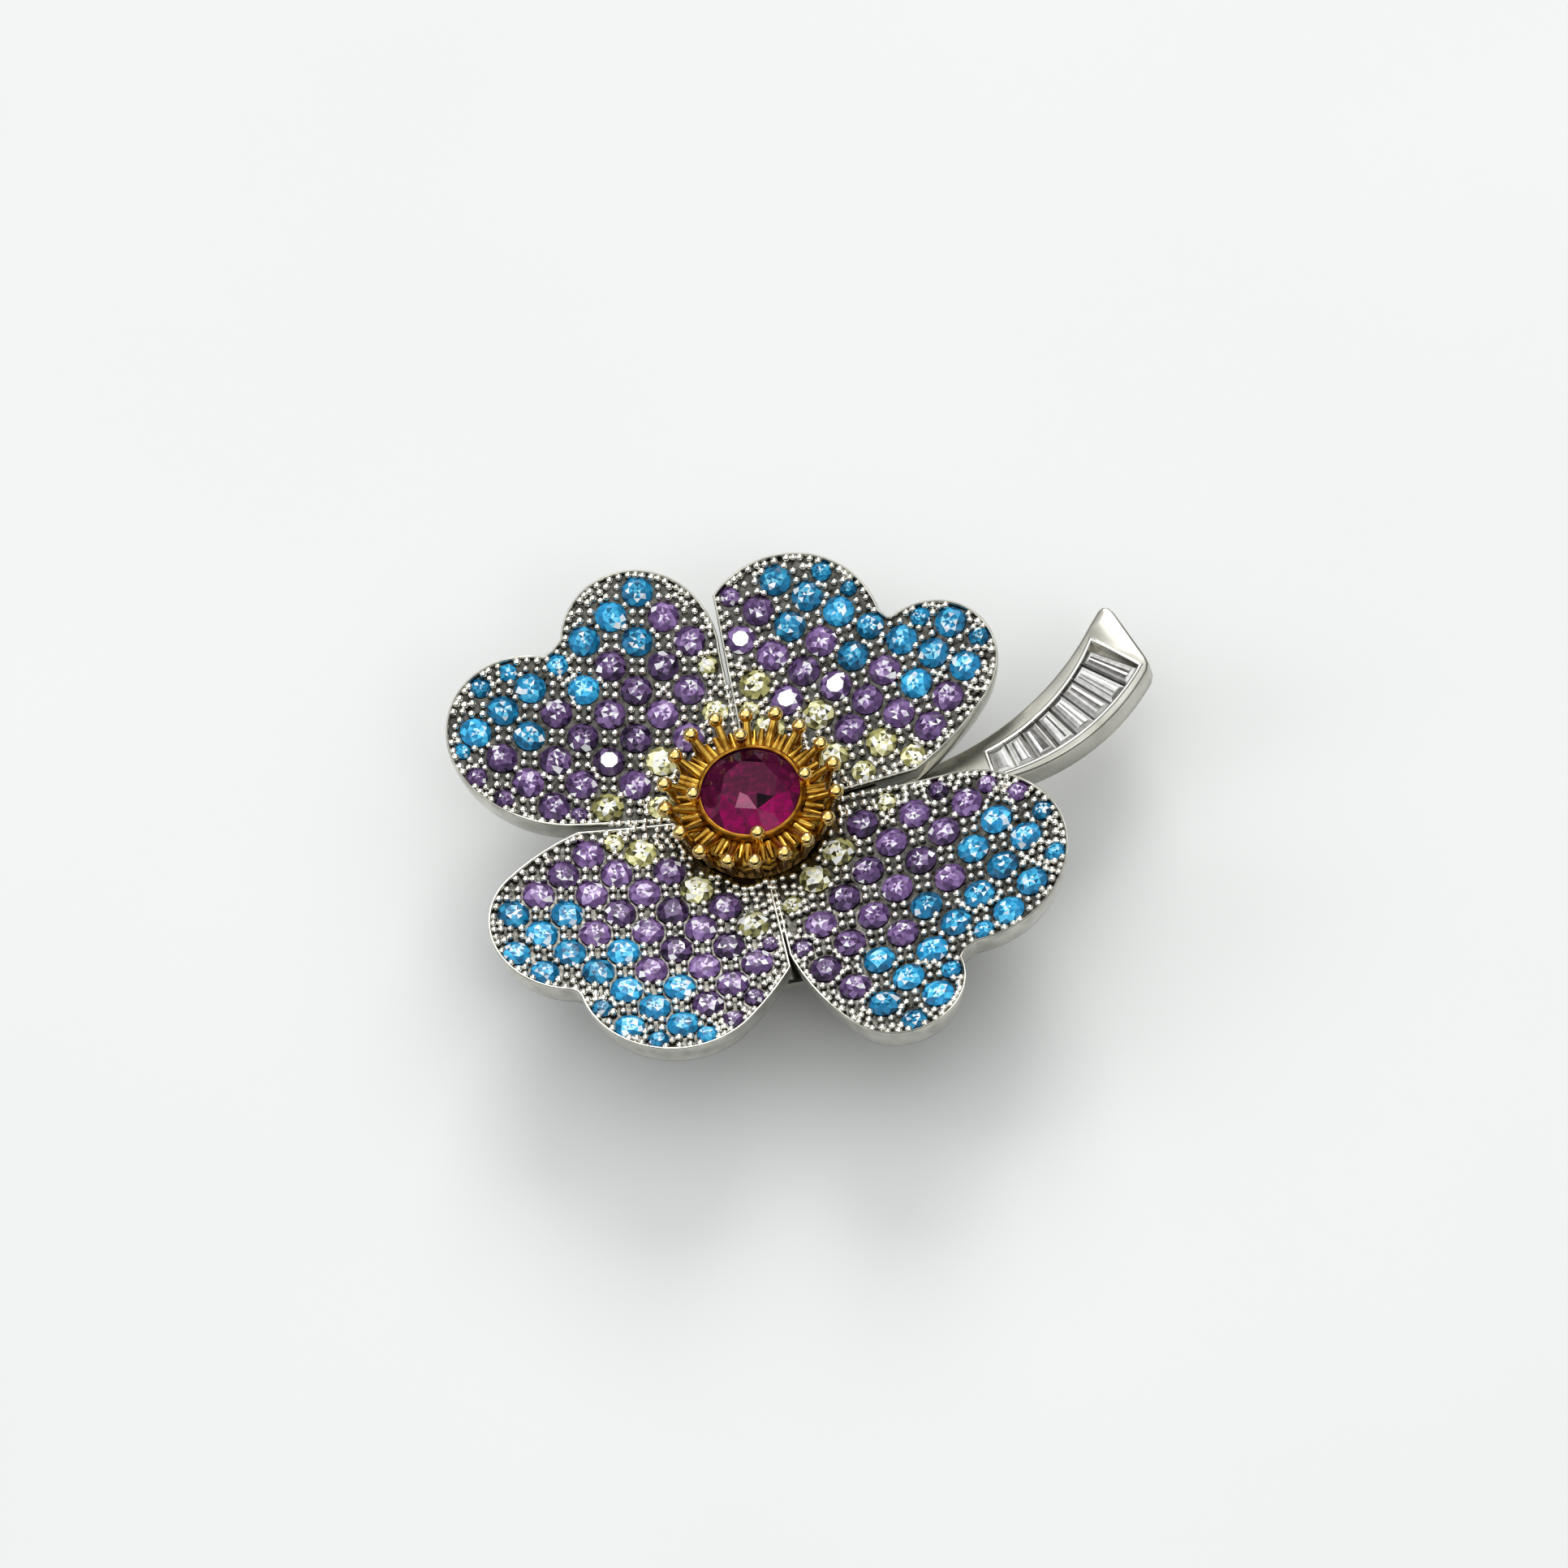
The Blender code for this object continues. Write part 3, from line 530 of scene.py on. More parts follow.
def on_bowl(point, above=0.0):
    return Vector((point.x, point.y, bowl_z(point) + above))


def bowl_matrix(point, above, spin):
    """Frame of something set square to the bowl."""
    normal = Vector((-point.x / BOWL_R, -point.y / BOWL_R, 1.0)).normalized()
    turn = Vector((0, 0, 1)).rotation_difference(normal).to_matrix().to_4x4()
    return Matrix.Translation(on_bowl(point, above)) @ turn @ Matrix.Rotation(spin, 4, "Z")


# Petals --------------------------------------------------------------------

def rings_bm(rings, first_centre, last_centre):
    """A closed solid from rings of equal count, its ends closed by fans."""
    bm = bmesh.new()
    made = [[bm.verts.new(point) for point in ring] for ring in rings]
    count = len(rings[0])
    for lower, upper in zip(made, made[1:]):
        for index in range(count):
            after = (index + 1) % count
            bm.faces.new((lower[index], lower[after], upper[after], upper[index]))
    for ring, centre in ((made[0], first_centre), (made[-1], last_centre)):
        middle = bm.verts.new(centre)
        for index in range(count):
            bm.faces.new((ring[index], ring[(index + 1) % count], middle))
    return bm


def add_cylinder(bm, sides, radius, depth, matrix):
    bmesh.ops.create_cone(bm, cap_ends=True, segments=sides, radius1=radius, radius2=radius,
                          depth=depth, matrix=matrix)


def petal_body(name, spots):
    outline = split_long_edges(petal_outline(name))
    centre = on_petal(name, 0, -5.0 * MM)
    rings = []
    back = inset(outline, RIM_PROFILE[0][0] * MM)
    for scale in DECK_SCALES[::-1]:
        rings.append([on_bowl(centre.lerp(point, scale), -PETAL_T) for point in back])
    for distance, depth in RIM_PROFILE:
        rings.append([on_bowl(point, -depth * MM) for point in inset(outline, distance * MM)])
    deck = inset(outline, RIM_PROFILE[-1][0] * MM)
    for scale in DECK_SCALES:
        rings.append([on_bowl(centre.lerp(point, scale), -DECK_DEPTH) for point in deck])
    body = bm_mesh(name, rings_bm(rings, on_bowl(centre, -PETAL_T), on_bowl(centre, -DECK_DEPTH)))

    hollow_edge = clip(inset(outline, HOLLOW_WALL), petal_frame(name)[1], HOLLOW_START_R)
    hollow_edge = split_long_edges(drop_short_edges(hollow_edge))
    hollow = []
    for scale in DECK_SCALES[::-1]:
        hollow.append([on_bowl(centre.lerp(point, scale), -HOLLOW_TOP) for point in hollow_edge])
    hollow.append([on_bowl(point, -HOLLOW_TOP) for point in hollow_edge])
    hollow.append([on_bowl(point, -PETAL_T - MM) for point in hollow_edge])
    hollow_cut = rings_bm(hollow, on_bowl(centre, -HOLLOW_TOP), on_bowl(centre, -PETAL_T - MM))

    holes = bmesh.new()
    for spot, _, _, _ in spots:
        if inside(spot, inset(hollow_edge, HOLE_R + 0.1 * MM)):
            add_cylinder(holes, HOLE_SIDES, HOLE_R, HOLE_DEPTH, bowl_matrix(spot, -1.0 * MM, 0.0))
    crown = bmesh.new()
    add_cylinder(crown, ROUND_SIDES, CROWN_CLEAR_R, CUTTER_HEIGHT,
                 Matrix.Translation((0, 0, CUTTER_HEIGHT / 2)))
    cutters = [bm_mesh("hollow", hollow_cut), bm_mesh("holes", holes), bm_mesh("crown", crown)]
    return cut_mesh("petal_" + name, body, cutters, 32)


def stone_colour(name, column, row):
    even = column % 2 == 0
    if row >= 1:
        return "blue"
    if row == 0:
        return "blue" if column in (-2, 0, 2) or (name == "se" and column == -3) else "purple"
    if row == -1:
        return "purple"
    if row == -2:
        pale = (name == "nw" and column == 3) or (name == "ne" and (even or abs(column) == 3))
        return "yellow" if pale else "purple"
    if row == -3:
        pale = (even or name == "ne" or (name == "sw" and column == 3) or (name == "nw" and column == 3)
                or (name == "se" and column in (-3, 1)))
        return "yellow" if pale else "purple"
    return "yellow"


# Stones whose core and table facets are painted white: painted glints.
PAINTED_GLINTS = {("nw", -1, -2), ("ne", -3, -1), ("ne", 0, -1), ("ne", -1, -2)}


def lattice_steps(name):
    """Start of a petal's lattice, its step from row to row and from column to column."""
    start, (row_azimuth, row_pitch), (column_azimuth, column_pitch) = LATTICES[name]
    return (Vector(start) * MM, polar(row_pitch * MM, row_azimuth),
            polar(column_pitch * MM, column_azimuth))


def stone_spots(name):
    """Place, radius, colour and painted glint (flash) of each pave stone: smaller and pushed inwards
    beside the rim.
    """
    outline = petal_outline(name)
    start, row_step, column_step = lattice_steps(name)
    spots = []
    pushed = []
    for row in range(-6, 4):
        for column in range(-5, 6):
            spot = start + row_step * row + column_step * column
            if spot.length < STONE_MIN_R:
                continue
            look = (stone_colour(name, column, row), (name, column, row) in PAINTED_GLINTS)
            edge = nearest_on(spot, outline)
            inward = (spot - edge) if inside(spot, outline) else (edge - spot)
            room = inward.dot(inward.normalized()) * (1 if inside(spot, outline) else -1) - STONE_TO_RIM
            if room > RIM_STONE_R:
                spots.append((spot, min(room, STONE_R), *look))
            elif room > RIM_STONE_R - PUSH_MOST:
                spot = spot + inward.normalized() * (RIM_STONE_R - room)
                pushed.append((spot, RIM_STONE_R, *look))
    for spot, radius, colour, flash in pushed:
        radius = min(radius, edge_distance(spot, outline) - STONE_TO_RIM)
        free = min((spot - other).length - reach for other, reach, _, _ in spots) - 0.05 * MM
        radius = min(radius, free)
        if radius > STONE_LEAST_R and spot.length > STONE_MIN_R:
            spots.append((spot, radius, colour, flash))
    return spots


def gap_spots(name):
    """Places of the beads in the gaps of the stones' lattice."""
    start, row_step, column_step = lattice_steps(name)
    across = column_step.normalized() * BEAD_OFFSET
    along = row_step.normalized() * BEAD_OFFSET
    places = []
    for row in range(-7, 5):
        for column in range(-6, 6):
            centre = start + row_step * (row + 0.5) + column_step * (column + 0.5)
            places += [centre + across, centre - across, centre + along, centre - along]
    return places


def rim_spots(outline, first, rows):
    """Places along rows that follow the rim, from the rim inwards."""
    places = []
    for row in range(rows):
        ring = inset(outline, first + row * RIM_ROW_STEP)
        walked = 0.0
        for here, after in zip(ring, ring[1:] + ring[:1]):
            length = (after - here).length
            while walked < length:
                places.append(here.lerp(after, walked / length))
                walked += BEAD_SPACING * 0.5
            walked -= length
    return places


def bead_places(name, spots, draw):
    outline = petal_outline(name)
    taken = []
    seam_rows = [place for place in rim_spots(outline, SEAM_ROW, 1) if place.length < SEAM_BEADS_R]
    places = seam_rows if name in ("nw", "se") else []
    for place in places + gap_spots(name) + rim_spots(outline, RIM_ROW_FIRST, RIM_ROWS):
        place = place + Vector((draw.uniform(-1, 1), draw.uniform(-1, 1))) * BEAD_SHIFT * MM
        radius = BEAD_R * draw.uniform(0.84, 1.08)
        if not inside(place, outline) or place.length < CROWN_CLEAR_R + BEAD_TO_CROWN:
            continue
        to_rim = BEAD_TO_RIM + radius * 0.5
        if place.length > SEAM_BEADS_R and edge_distance(place, outline) < to_rim:
            continue
        if any((place - spot).length < reach + radius * 0.15 for spot, reach, _, _ in spots):
            continue
        if any((place - other).length < BEAD_SPACING for other, _ in taken):
            continue
        taken.append((place, radius))
    return taken


# Cut stones ----------------------------------------------------------------

def brilliant(radius, table, crown, girdle, pavilion, fine, draw, tone_of):
    """A round brilliant with its table at local z = 0: verts, faces and tones."""
    verts = []
    faces = []
    tones = []

    def ring(count, r, z, turn=0.0):
        start = len(verts)
        for index in range(count):
            angle = 2 * math.pi * (index + turn) / count
            verts.append(Vector((r * math.cos(angle), r * math.sin(angle), z)))
        return [start + index for index in range(count)]

    def facet(kind, corners):
        faces.append(corners)
        middle = sum((verts[corner] for corner in corners), Vector()) / len(corners)
        tones.append(tone_of(kind, math.atan2(middle.y, middle.x), draw))

    verts.append(Vector((0, 0, 0)))
    core = ring(8, table * 0.42, 0.0, 0.5)
    top = ring(8, table, 0.0)
    mids = ring(8, table + (radius - table) * 0.47, -crown * 0.42, 0.5)
    edge = ring(16 * fine, radius, -crown)
    low = ring(16 * fine, radius, -crown - girdle)
    culet = len(verts)
    verts.append(Vector((0, 0, -crown - girdle - pavilion)))
    for index in range(8):
        after = (index + 1) % 8
        before = (index - 1) % 8
        facet("core", [0, core[index], core[after]])
        facet("table", [core[before], top[index], core[index]])
        facet("table", [core[index], top[index], top[after]])
        facet("star", [top[index], mids[index], top[after]])
        girdle_at = [edge[(2 * fine * index + step) % (16 * fine)] for step in range(2 * fine + 1)]
        facet("kite", [top[index], mids[before], girdle_at[0], mids[index]])
        facet("upper", [mids[index], *girdle_at[:fine + 1]])
        facet("upper", [mids[index], *girdle_at[fine:]])
    count = 16 * fine
    for index in range(count):
        after = (index + 1) % count
        facet("girdle", [edge[index], low[index], low[after], edge[after]])
    for index in range(16):
        run = [low[(index * fine + step) % count] for step in range(fine + 1)]
        facet("pavilion", [*run[::-1], culet])
    return verts, faces, tones


def pave_tone(flash, lightness, lively):
    """Tones of a small stone, all painted light: a painted dark ring round painted bright and dark
    facets, and some painted white glints.
    """
    base = {"core": 0.62, "table": 0.52, "star": 0.42, "kite": 0.36, "upper": 0.2,
            "girdle": 0.1, "pavilion": 0.35}
    spread = {"core": 0.4, "table": 0.36, "star": 0.3, "kite": 0.26, "upper": 0.2,
              "girdle": 0.05, "pavilion": 0.3}
    chance = {"core": 0.16, "table": 0.12, "star": 0.07, "kite": 0.05, "upper": 0.02,
              "girdle": 0.0, "pavilion": 0.0}

    def tone(kind, angle, draw):
        value = base[kind] + draw.uniform(-1, 1) * spread[kind] * lively + (lightness - 0.5) * 0.2
        # A painted white glint on some facets, and always on a flash stone's core and table.
        white = draw.uniform(0.5, 0.95) if draw.random() < chance[kind] * lively ** 2 else 0.0
        if flash and kind in ("core", "table"):
            white = 1.0
        return (min(max(value, 0.0), 1.0), white, lightness)
    return tone


def build_petal(name, looks, draw):
    """A petal's metal, its stones colour by colour, and its beads."""
    spots = stone_spots(name)
    body = petal_body(name, spots)
    piece_from("petal_" + name + "_body", body, looks["rhodium"], ["petal_" + name],
               second=looks["deck"])
    # The deck faces get the near-black copy of the rhodium, a painted shade between the stones and
    # beads.
    for face in body.polygons:
        depth = bowl_z(face.center.xy) - face.center.z
        if face.normal.z > 0.6 and DECK_FACES[0] < depth < DECK_FACES[1]:
            face.material_index = 1
    zones = {"blue": "outer", "purple": "middle", "yellow": "inner"}
    for colour, zone in zones.items():
        shell = Shell()
        for spot, radius, kind, flash in spots:
            if kind != colour:
                continue
            cut = brilliant(radius, radius * STONE_TABLE, STONE_CROWN, STONE_GIRDLE,
                            radius * STONE_PAVILION, 1, draw,
                            pave_tone(flash, draw.random(), LIVELY[colour]))
            place = bowl_matrix(spot, STONE_TOP, draw.uniform(0, math.pi / 4))
            shell.add([place @ vert for vert in cut[0]], cut[1], cut[2])
        mesh = shell_mesh(name + "_" + colour + "_gems", shell)
        piece_from(mesh.name, mesh, looks[colour], [name + "_" + zone + "_stones"])

    ball = bmesh.new()
    bmesh.ops.create_icosphere(ball, subdivisions=2, radius=1.0)
    ball_verts = [vert.co.copy() for vert in ball.verts]
    ball_faces = [[vert.index for vert in face.verts] for face in ball.faces]
    ball.free()
    shell = Shell()
    for place, radius in bead_places(name, spots, draw):
        centre = on_bowl(place, -BEAD_SINK + draw.uniform(-0.03, 0.03) * MM)
        tone = (draw.random(), 0.0, 0.0)
        shell.add([centre + vert * radius for vert in ball_verts], ball_faces, [tone] * len(ball_faces))
    mesh = shell_mesh(name + "_beads", shell, 60)
    # The beads get the lighter copy of the rhodium: a painted highlight.
    piece_from(mesh.name, mesh, looks["beads"])


# Crown, setting and ruby ---------------------------------------------------

def tapered_rod(bm, start, end, first, last, sides=12):
    along = end - start
    turn = Vector((0, 0, 1)).rotation_difference(along).to_matrix().to_4x4()
    bmesh.ops.create_cone(
        bm, cap_ends=True, segments=sides, radius1=first, radius2=last,
        depth=along.length, matrix=Matrix.Translation((start + end) / 2) @ turn)


def add_ball(bm, radius, centre):
    bmesh.ops.create_uvsphere(bm, u_segments=20, v_segments=12, radius=radius,
                              matrix=Matrix.Translation(centre))


def ring_point(radius, degrees, z):
    spot = polar(radius, degrees)
    return Vector((spot.x, spot.y, z))


def build_crown(looks, draw):
    """Fluted basket; on each flute two posts that share a ball, with short ribs between."""
    rings = []
    for radius, z, flute in CROWN_PROFILE:
        ring = []
        for index in range(CROWN_PRONGS * CROWN_STEPS):
            turn = index / CROWN_STEPS
            ribs = math.cos(2 * math.pi * turn) + 0.3 * math.cos(6 * math.pi * turn + 0.6)
            place = ring_point((radius - flute * ribs) * MM, CROWN_FIRST + 360 * turn / CROWN_PRONGS,
                               GIRDLE_Z + z * MM)
            ring.append(place)
        rings.append(ring)
    basket = rings_bm(rings, Vector((0, 0, rings[0][0].z)), Vector((0, 0, rings[-1][0].z)))
    mesh = bm_mesh("stamen_basket", basket, 40)
    piece_from("stamen_basket", mesh, looks["gold"], ["stamen_crown"])

    prongs = bmesh.new()
    balls = bmesh.new()
    for index in range(CROWN_PRONGS):
        degrees = CROWN_FIRST + 360 * index / CROWN_PRONGS
        lean = degrees + draw.uniform(-2.2, 2.2)
        top = ring_point(CROWN_TOP_R + draw.uniform(-0.12, 0.08) * MM, lean,
                         CROWN_TOP_Z + draw.uniform(-0.1, 0.06) * MM)
        for radius, z, thick, thin in CROWN_POSTS:
            foot = ring_point(radius * MM, degrees, GIRDLE_Z + z * MM)
            tapered_rod(prongs, foot, top, thick * MM, thin * MM)
        for turn in RIB_TURNS:
            between = degrees + 360 * turn / CROWN_PRONGS + draw.uniform(-1.5, 1.5)
            low = ring_point(3.32 * MM, between, GIRDLE_Z - 0.38 * MM)
            high = ring_point(4.4 * MM, between, GIRDLE_Z + draw.uniform(-0.45, 0.0) * MM)
            tapered_rod(prongs, low, high, 0.25 * MM, 0.17 * MM)
        add_ball(balls, BALL_R, top)
    mesh = bm_mesh("stamen_prongs", prongs, 50)
    piece_from("stamen_prongs", mesh, looks["gold"])
    mesh = bm_mesh("stamen_balls", balls, 50)
    # The balls get the lighter copy of the gold: a painted highlight.
    piece_from("stamen_balls", mesh, looks["gold_beads_painted_highlight"])


def close_round(bm, rings):
    """A tube whose section runs through the rings and back to the first."""
    made = [[bm.verts.new(point) for point in ring] for ring in rings]
    count = len(rings[0])
    for lower, upper in zip(made, made[1:] + made[:1]):
        for index in range(count):
            after = (index + 1) % count
            bm.faces.new((lower[index], lower[after], upper[after], upper[index]))


def build_setting(looks):
    """Bezel over the stone's edge, and the claws."""
    rings = []
    for radius, z in BEZEL_PROFILE:
        rings.append([ring_point(radius * MM, 360 * step / BEZEL_STEPS, GIRDLE_Z + z * MM)
                      for step in range(BEZEL_STEPS)])
    bm = bmesh.new()
    close_round(bm, rings)
    bezel_faces = len(bm.faces)
    for index in range(CLAWS):
        degrees = 360 * index / CLAWS
        foot = ring_point(3.22 * MM, degrees, CLAW_FOOT_Z)
        top = ring_point(CLAW_TOP_R, degrees, CLAW_TOP_Z)
        tapered_rod(bm, foot, top, 0.26 * MM, 0.22 * MM)
        add_ball(bm, BALL_R * 0.98, top)
    setting = bm_mesh("ruby_claws", bm, 50)
    # The claws and their balls get the lighter copy of the gold, a painted highlight.
    piece_from("ruby_claws", setting, looks["gold_beads_painted_highlight"], ["ruby_setting"],
               second=looks["gold_painted_shade"])
    # The bezel gets the darker copy of the gold: painted shade where the ruby's edge meets the setting.
    for face in setting.polygons[:bezel_faces]:
        face.material_index = 1


# Painted light on the ruby: a painted highlight on the table facets between 222 and 265 degrees, painted
# dark table facets between 272 and 300 degrees, a faint painted veil on the other table facets, and
# crown and girdle facets painted lighter on the side towards -Y. The pavilion's painted tones differ at
# random.
def ruby_tone(kind, angle, draw):
    degrees = math.degrees(angle) % 360
    front = 0.5 - 0.5 * math.sin(angle)          # 1 on the side towards -Y
    if kind in ("core", "table"):
        if 222 < degrees < 265 and kind == "table":
            return (0.62, 0.1, 0.6)
        if 272 < degrees < 300:
            return (0.0, 0.0, 0.2)
        return (0.41 + draw.uniform(-0.03, 0.04), 0.006, 0.6)
    if kind == "pavilion":
        return (0.5 + draw.uniform(-0.3, 0.3), 0.0, 0.6)
    # Crown and girdle facets painted lighter towards -Y: painted light on one side.
    value = 0.14 + 0.44 * front + draw.uniform(-0.12, 0.12)
    return (value, 0.0, 0.5 + 0.4 * front)


def build_ruby(looks, draw):
    cut = brilliant(RUBY_R, RUBY_TABLE_R, RUBY_CROWN, RUBY_GIRDLE, RUBY_PAVILION, 3, draw, ruby_tone)
    place = (Matrix.Translation((0, 0, GIRDLE_Z + RUBY_TOP))
             @ Matrix.Rotation(math.radians(RUBY_TURN), 4, "Z"))
    shell = Shell()
    shell.add([place @ vert for vert in cut[0]], cut[1], cut[2])
    piece_from("ruby_gem", shell_mesh("ruby_gem", shell), looks["ruby"], ["ruby"])


# Stem ----------------------------------------------------------------------

def on_arc(arc, degrees):
    """Where a ray from the stem's pivot meets one of its edge arcs."""
    (cx, cy), radius = arc
    px, py = STEM_PIVOT
    ray = polar(1.0, degrees)
    offset = Vector((px - cx, py - cy))
    along = offset.dot(ray)
    reach = -along + math.sqrt(along ** 2 - offset.length_squared + radius ** 2)
    return Vector(((px + ray.x * reach) * MM, (py + ray.y * reach) * MM))


def arc_run(arc, start, end, steps):
    return [on_arc(arc, start + (end - start) * k / steps) for k in range(steps + 1)]


def counter_clockwise(points):
    area = sum(a.x * b.y - b.x * a.y for a, b in zip(points, points[1:] + points[:1]))
    return points if area > 0 else points[::-1]


def prism_bm(outline, profile):
    """A flat outline with rounded edges: the profile holds insets and heights."""
    bm = bmesh.new()
    rings = []
    for distance, height in profile:
        ring = inset(outline, distance * MM)
        rings.append([bm.verts.new((point.x, point.y, height * MM)) for point in ring])
    count = len(outline)
    for lower, upper in zip(rings, rings[1:]):
        for index in range(count):
            after = (index + 1) % count
            bm.faces.new((lower[index], lower[after], upper[after], upper[index]))
    bm.faces.new(rings[0][::-1])
    bm.faces.new(rings[-1])
    bm.normal_update()
    bmesh.ops.triangulate(bm, faces=[face for face in bm.faces if len(face.verts) > 4])
    return bm


def build_stem(looks, draw):
    outline = arc_run(STEM_LEFT, -50.0, -119.0, 40)
    outline += [Vector((6.9 * MM, -1.0 * MM)), Vector((6.9 * MM, -2.4 * MM))]
    outline += arc_run(STEM_RIGHT, -114.0, -57.9, 34)
    outline += [Vector(point) * MM for point in STEM_TIP]
    outline = counter_clockwise(outline)
    body = prism_bm(outline, STEM_PROFILE)
    recess = arc_run(RAIL_LEFT, RECESS_END, BAGUETTE_START, 24)
    recess += arc_run(RAIL_RIGHT, BAGUETTE_START, BAGUETTE_END, 24)
    recess = counter_clockwise(recess)
    cutter = prism_bm(recess, ((0.0, -1.0), (0.0, 1.0)))
    for bm in (body, cutter):
        bmesh.ops.transform(bm, matrix=STEM_MATRIX, verts=bm.verts)
    plate = bmesh.new()
    add_cylinder(plate, ROUND_SIDES, PLATE_R + GAP, CUTTER_HEIGHT,
                 Matrix.Translation((0, 0, 1.5 * MM)))
    mesh = cut_mesh("stem_body", bm_mesh("stem", body),
                    [bm_mesh("recess", cutter), bm_mesh("plate", plate)], 40)
    piece_from("stem_body", mesh, looks["stem"], ["stem_channel"])

    lip = bmesh.new()
    edge = split_long_edges(recess)
    rings = []
    for distance, height in LIP_PROFILE:
        ring = inset(edge, distance * MM)
        rings.append([STEM_MATRIX @ Vector((p.x, p.y, height * MM)) for p in ring])
    close_round(lip, rings)
    # The lip gets the lighter copy of the rhodium: a painted highlight.
    piece_from("stem_lip", bm_mesh("stem_lip", lip, 50), looks["bright"])

    step = (BAGUETTE_END - BAGUETTE_START) / BAGUETTES
    for number in range(BAGUETTES):
        start = BAGUETTE_START + step * number + BAGUETTE_JOINT
        end = start + step - 2 * BAGUETTE_JOINT
        corners = counter_clockwise([on_arc(RAIL_LEFT, start), on_arc(RAIL_LEFT, end),
                                     on_arc(RAIL_RIGHT, end), on_arc(RAIL_RIGHT, start)])
        if (corners[0] - corners[1]).length < (corners[1] - corners[2]).length:
            corners = corners[1:] + corners[:1]
        name = "stem_baguette_" + str(number + 1)
        mesh = shell_mesh(name + "_cut", baguette(corners, draw))
        piece_from(mesh.name, mesh, looks["clear"], [name])


def baguette(corners, draw):
    """A step-cut stone on four plan corners, the first two along a long side."""
    verts = []
    for distance, height in BAGUETTE_LEVELS:
        verts += [Vector((p.x, p.y, height * MM)) for p in inset(corners, distance * MM)]
    faces = [[3, 2, 1, 0]]
    # Each facet's tone is painted light: the table a middle tone, the sides and strips painted bright
    # and dark at random, standing in for the light inside the stone.
    tones = [(0.3, 0.0, 0.8)]
    top = len(verts) - 4
    for level in range(0, top, 4):
        for side in range(4):
            after = (side + 1) % 4
            faces.append([level + side, level + after, level + 4 + after, level + 4 + side])
            tones.append((draw.uniform(0.05, 1.0), 0.0, draw.uniform(0.5, 1.0)))
    lines = [(top, top + 1)]
    for part in range(1, BAGUETTE_STRIPS):
        share = part / BAGUETTE_STRIPS
        rise = Vector((0, 0, BAGUETTE_RIDGE if part % 2 else 0.0))
        verts.append(verts[top].lerp(verts[top + 3], share) + rise)
        verts.append(verts[top + 1].lerp(verts[top + 2], share) + rise)
        lines.append((len(verts) - 2, len(verts) - 1))
    lines.append((top + 3, top + 2))
    for (a, b), (c, d) in zip(lines, lines[1:]):
        faces.append([a, b, d, c])
        tones.append((draw.choice((0.1, 0.45, 0.75, 1.0)), 0.0, draw.uniform(0.6, 1.0)))
    for face in faces:
        if top + 1 in face and top + 2 in face and len(face) == 4 and top - 3 in face:
            place = face.index(top + 2)
            face[place + 1:place + 1] = [line[1] for line in lines[-2:0:-1]]
        elif top in face and top + 3 in face and len(face) == 4 and top - 1 in face:
            place = face.index(top)
            face[place + 1:place + 1] = [line[0] for line in lines[1:-1]]
    shell = Shell()
    shell.add([STEM_MATRIX @ vert for vert in verts], faces, tones)
    return shell


# Stage ---------------------------------------------------------------------

DOME = (     # height in the sky and its level
    (0.0, 0.04), (0.25, 0.1), (0.5, 0.38), (0.72, 0.98), (1.0, 1.45))
CARDS = (    # dark cards that the metal reflects: centre, half size, turn
    ((0.0, -0.32, 0.13), (0.22, 0.085), 0.0),
    ((0.34, 0.05, 0.1), (0.1, 0.05), 90.0),
    ((-0.3, 0.16, 0.09), (0.08, 0.04), -62.0))
LIGHTS = (   # name, place, size, power, colour
    ("key", (0.45, 1.8, 1.45), 1.2, 25.0, (1.0, 0.99, 0.97)),
    ("side", (-1.8, 0.2, 1.1), 1.0, 7.0, (0.96, 0.98, 1.0)),
    ("front", (0.35, -0.7, 0.9), 0.3, 0.9, (1.0, 1.0, 1.0)))
LIGHTS_AIM = Vector((0, 0, 0.004))
CAMERA_RIGHT = (0.9845, -0.1517, -0.088)
CAMERA_BACK = (0, -0.5017, 0.865)
CAMERA_DISTANCE = 0.45
CAMERA_FIELD = 0.092               # width seen at the target
TARGET_SHIFT = (1.952, 0.524)      # of the target from the ruby, right and up in the view, in mm


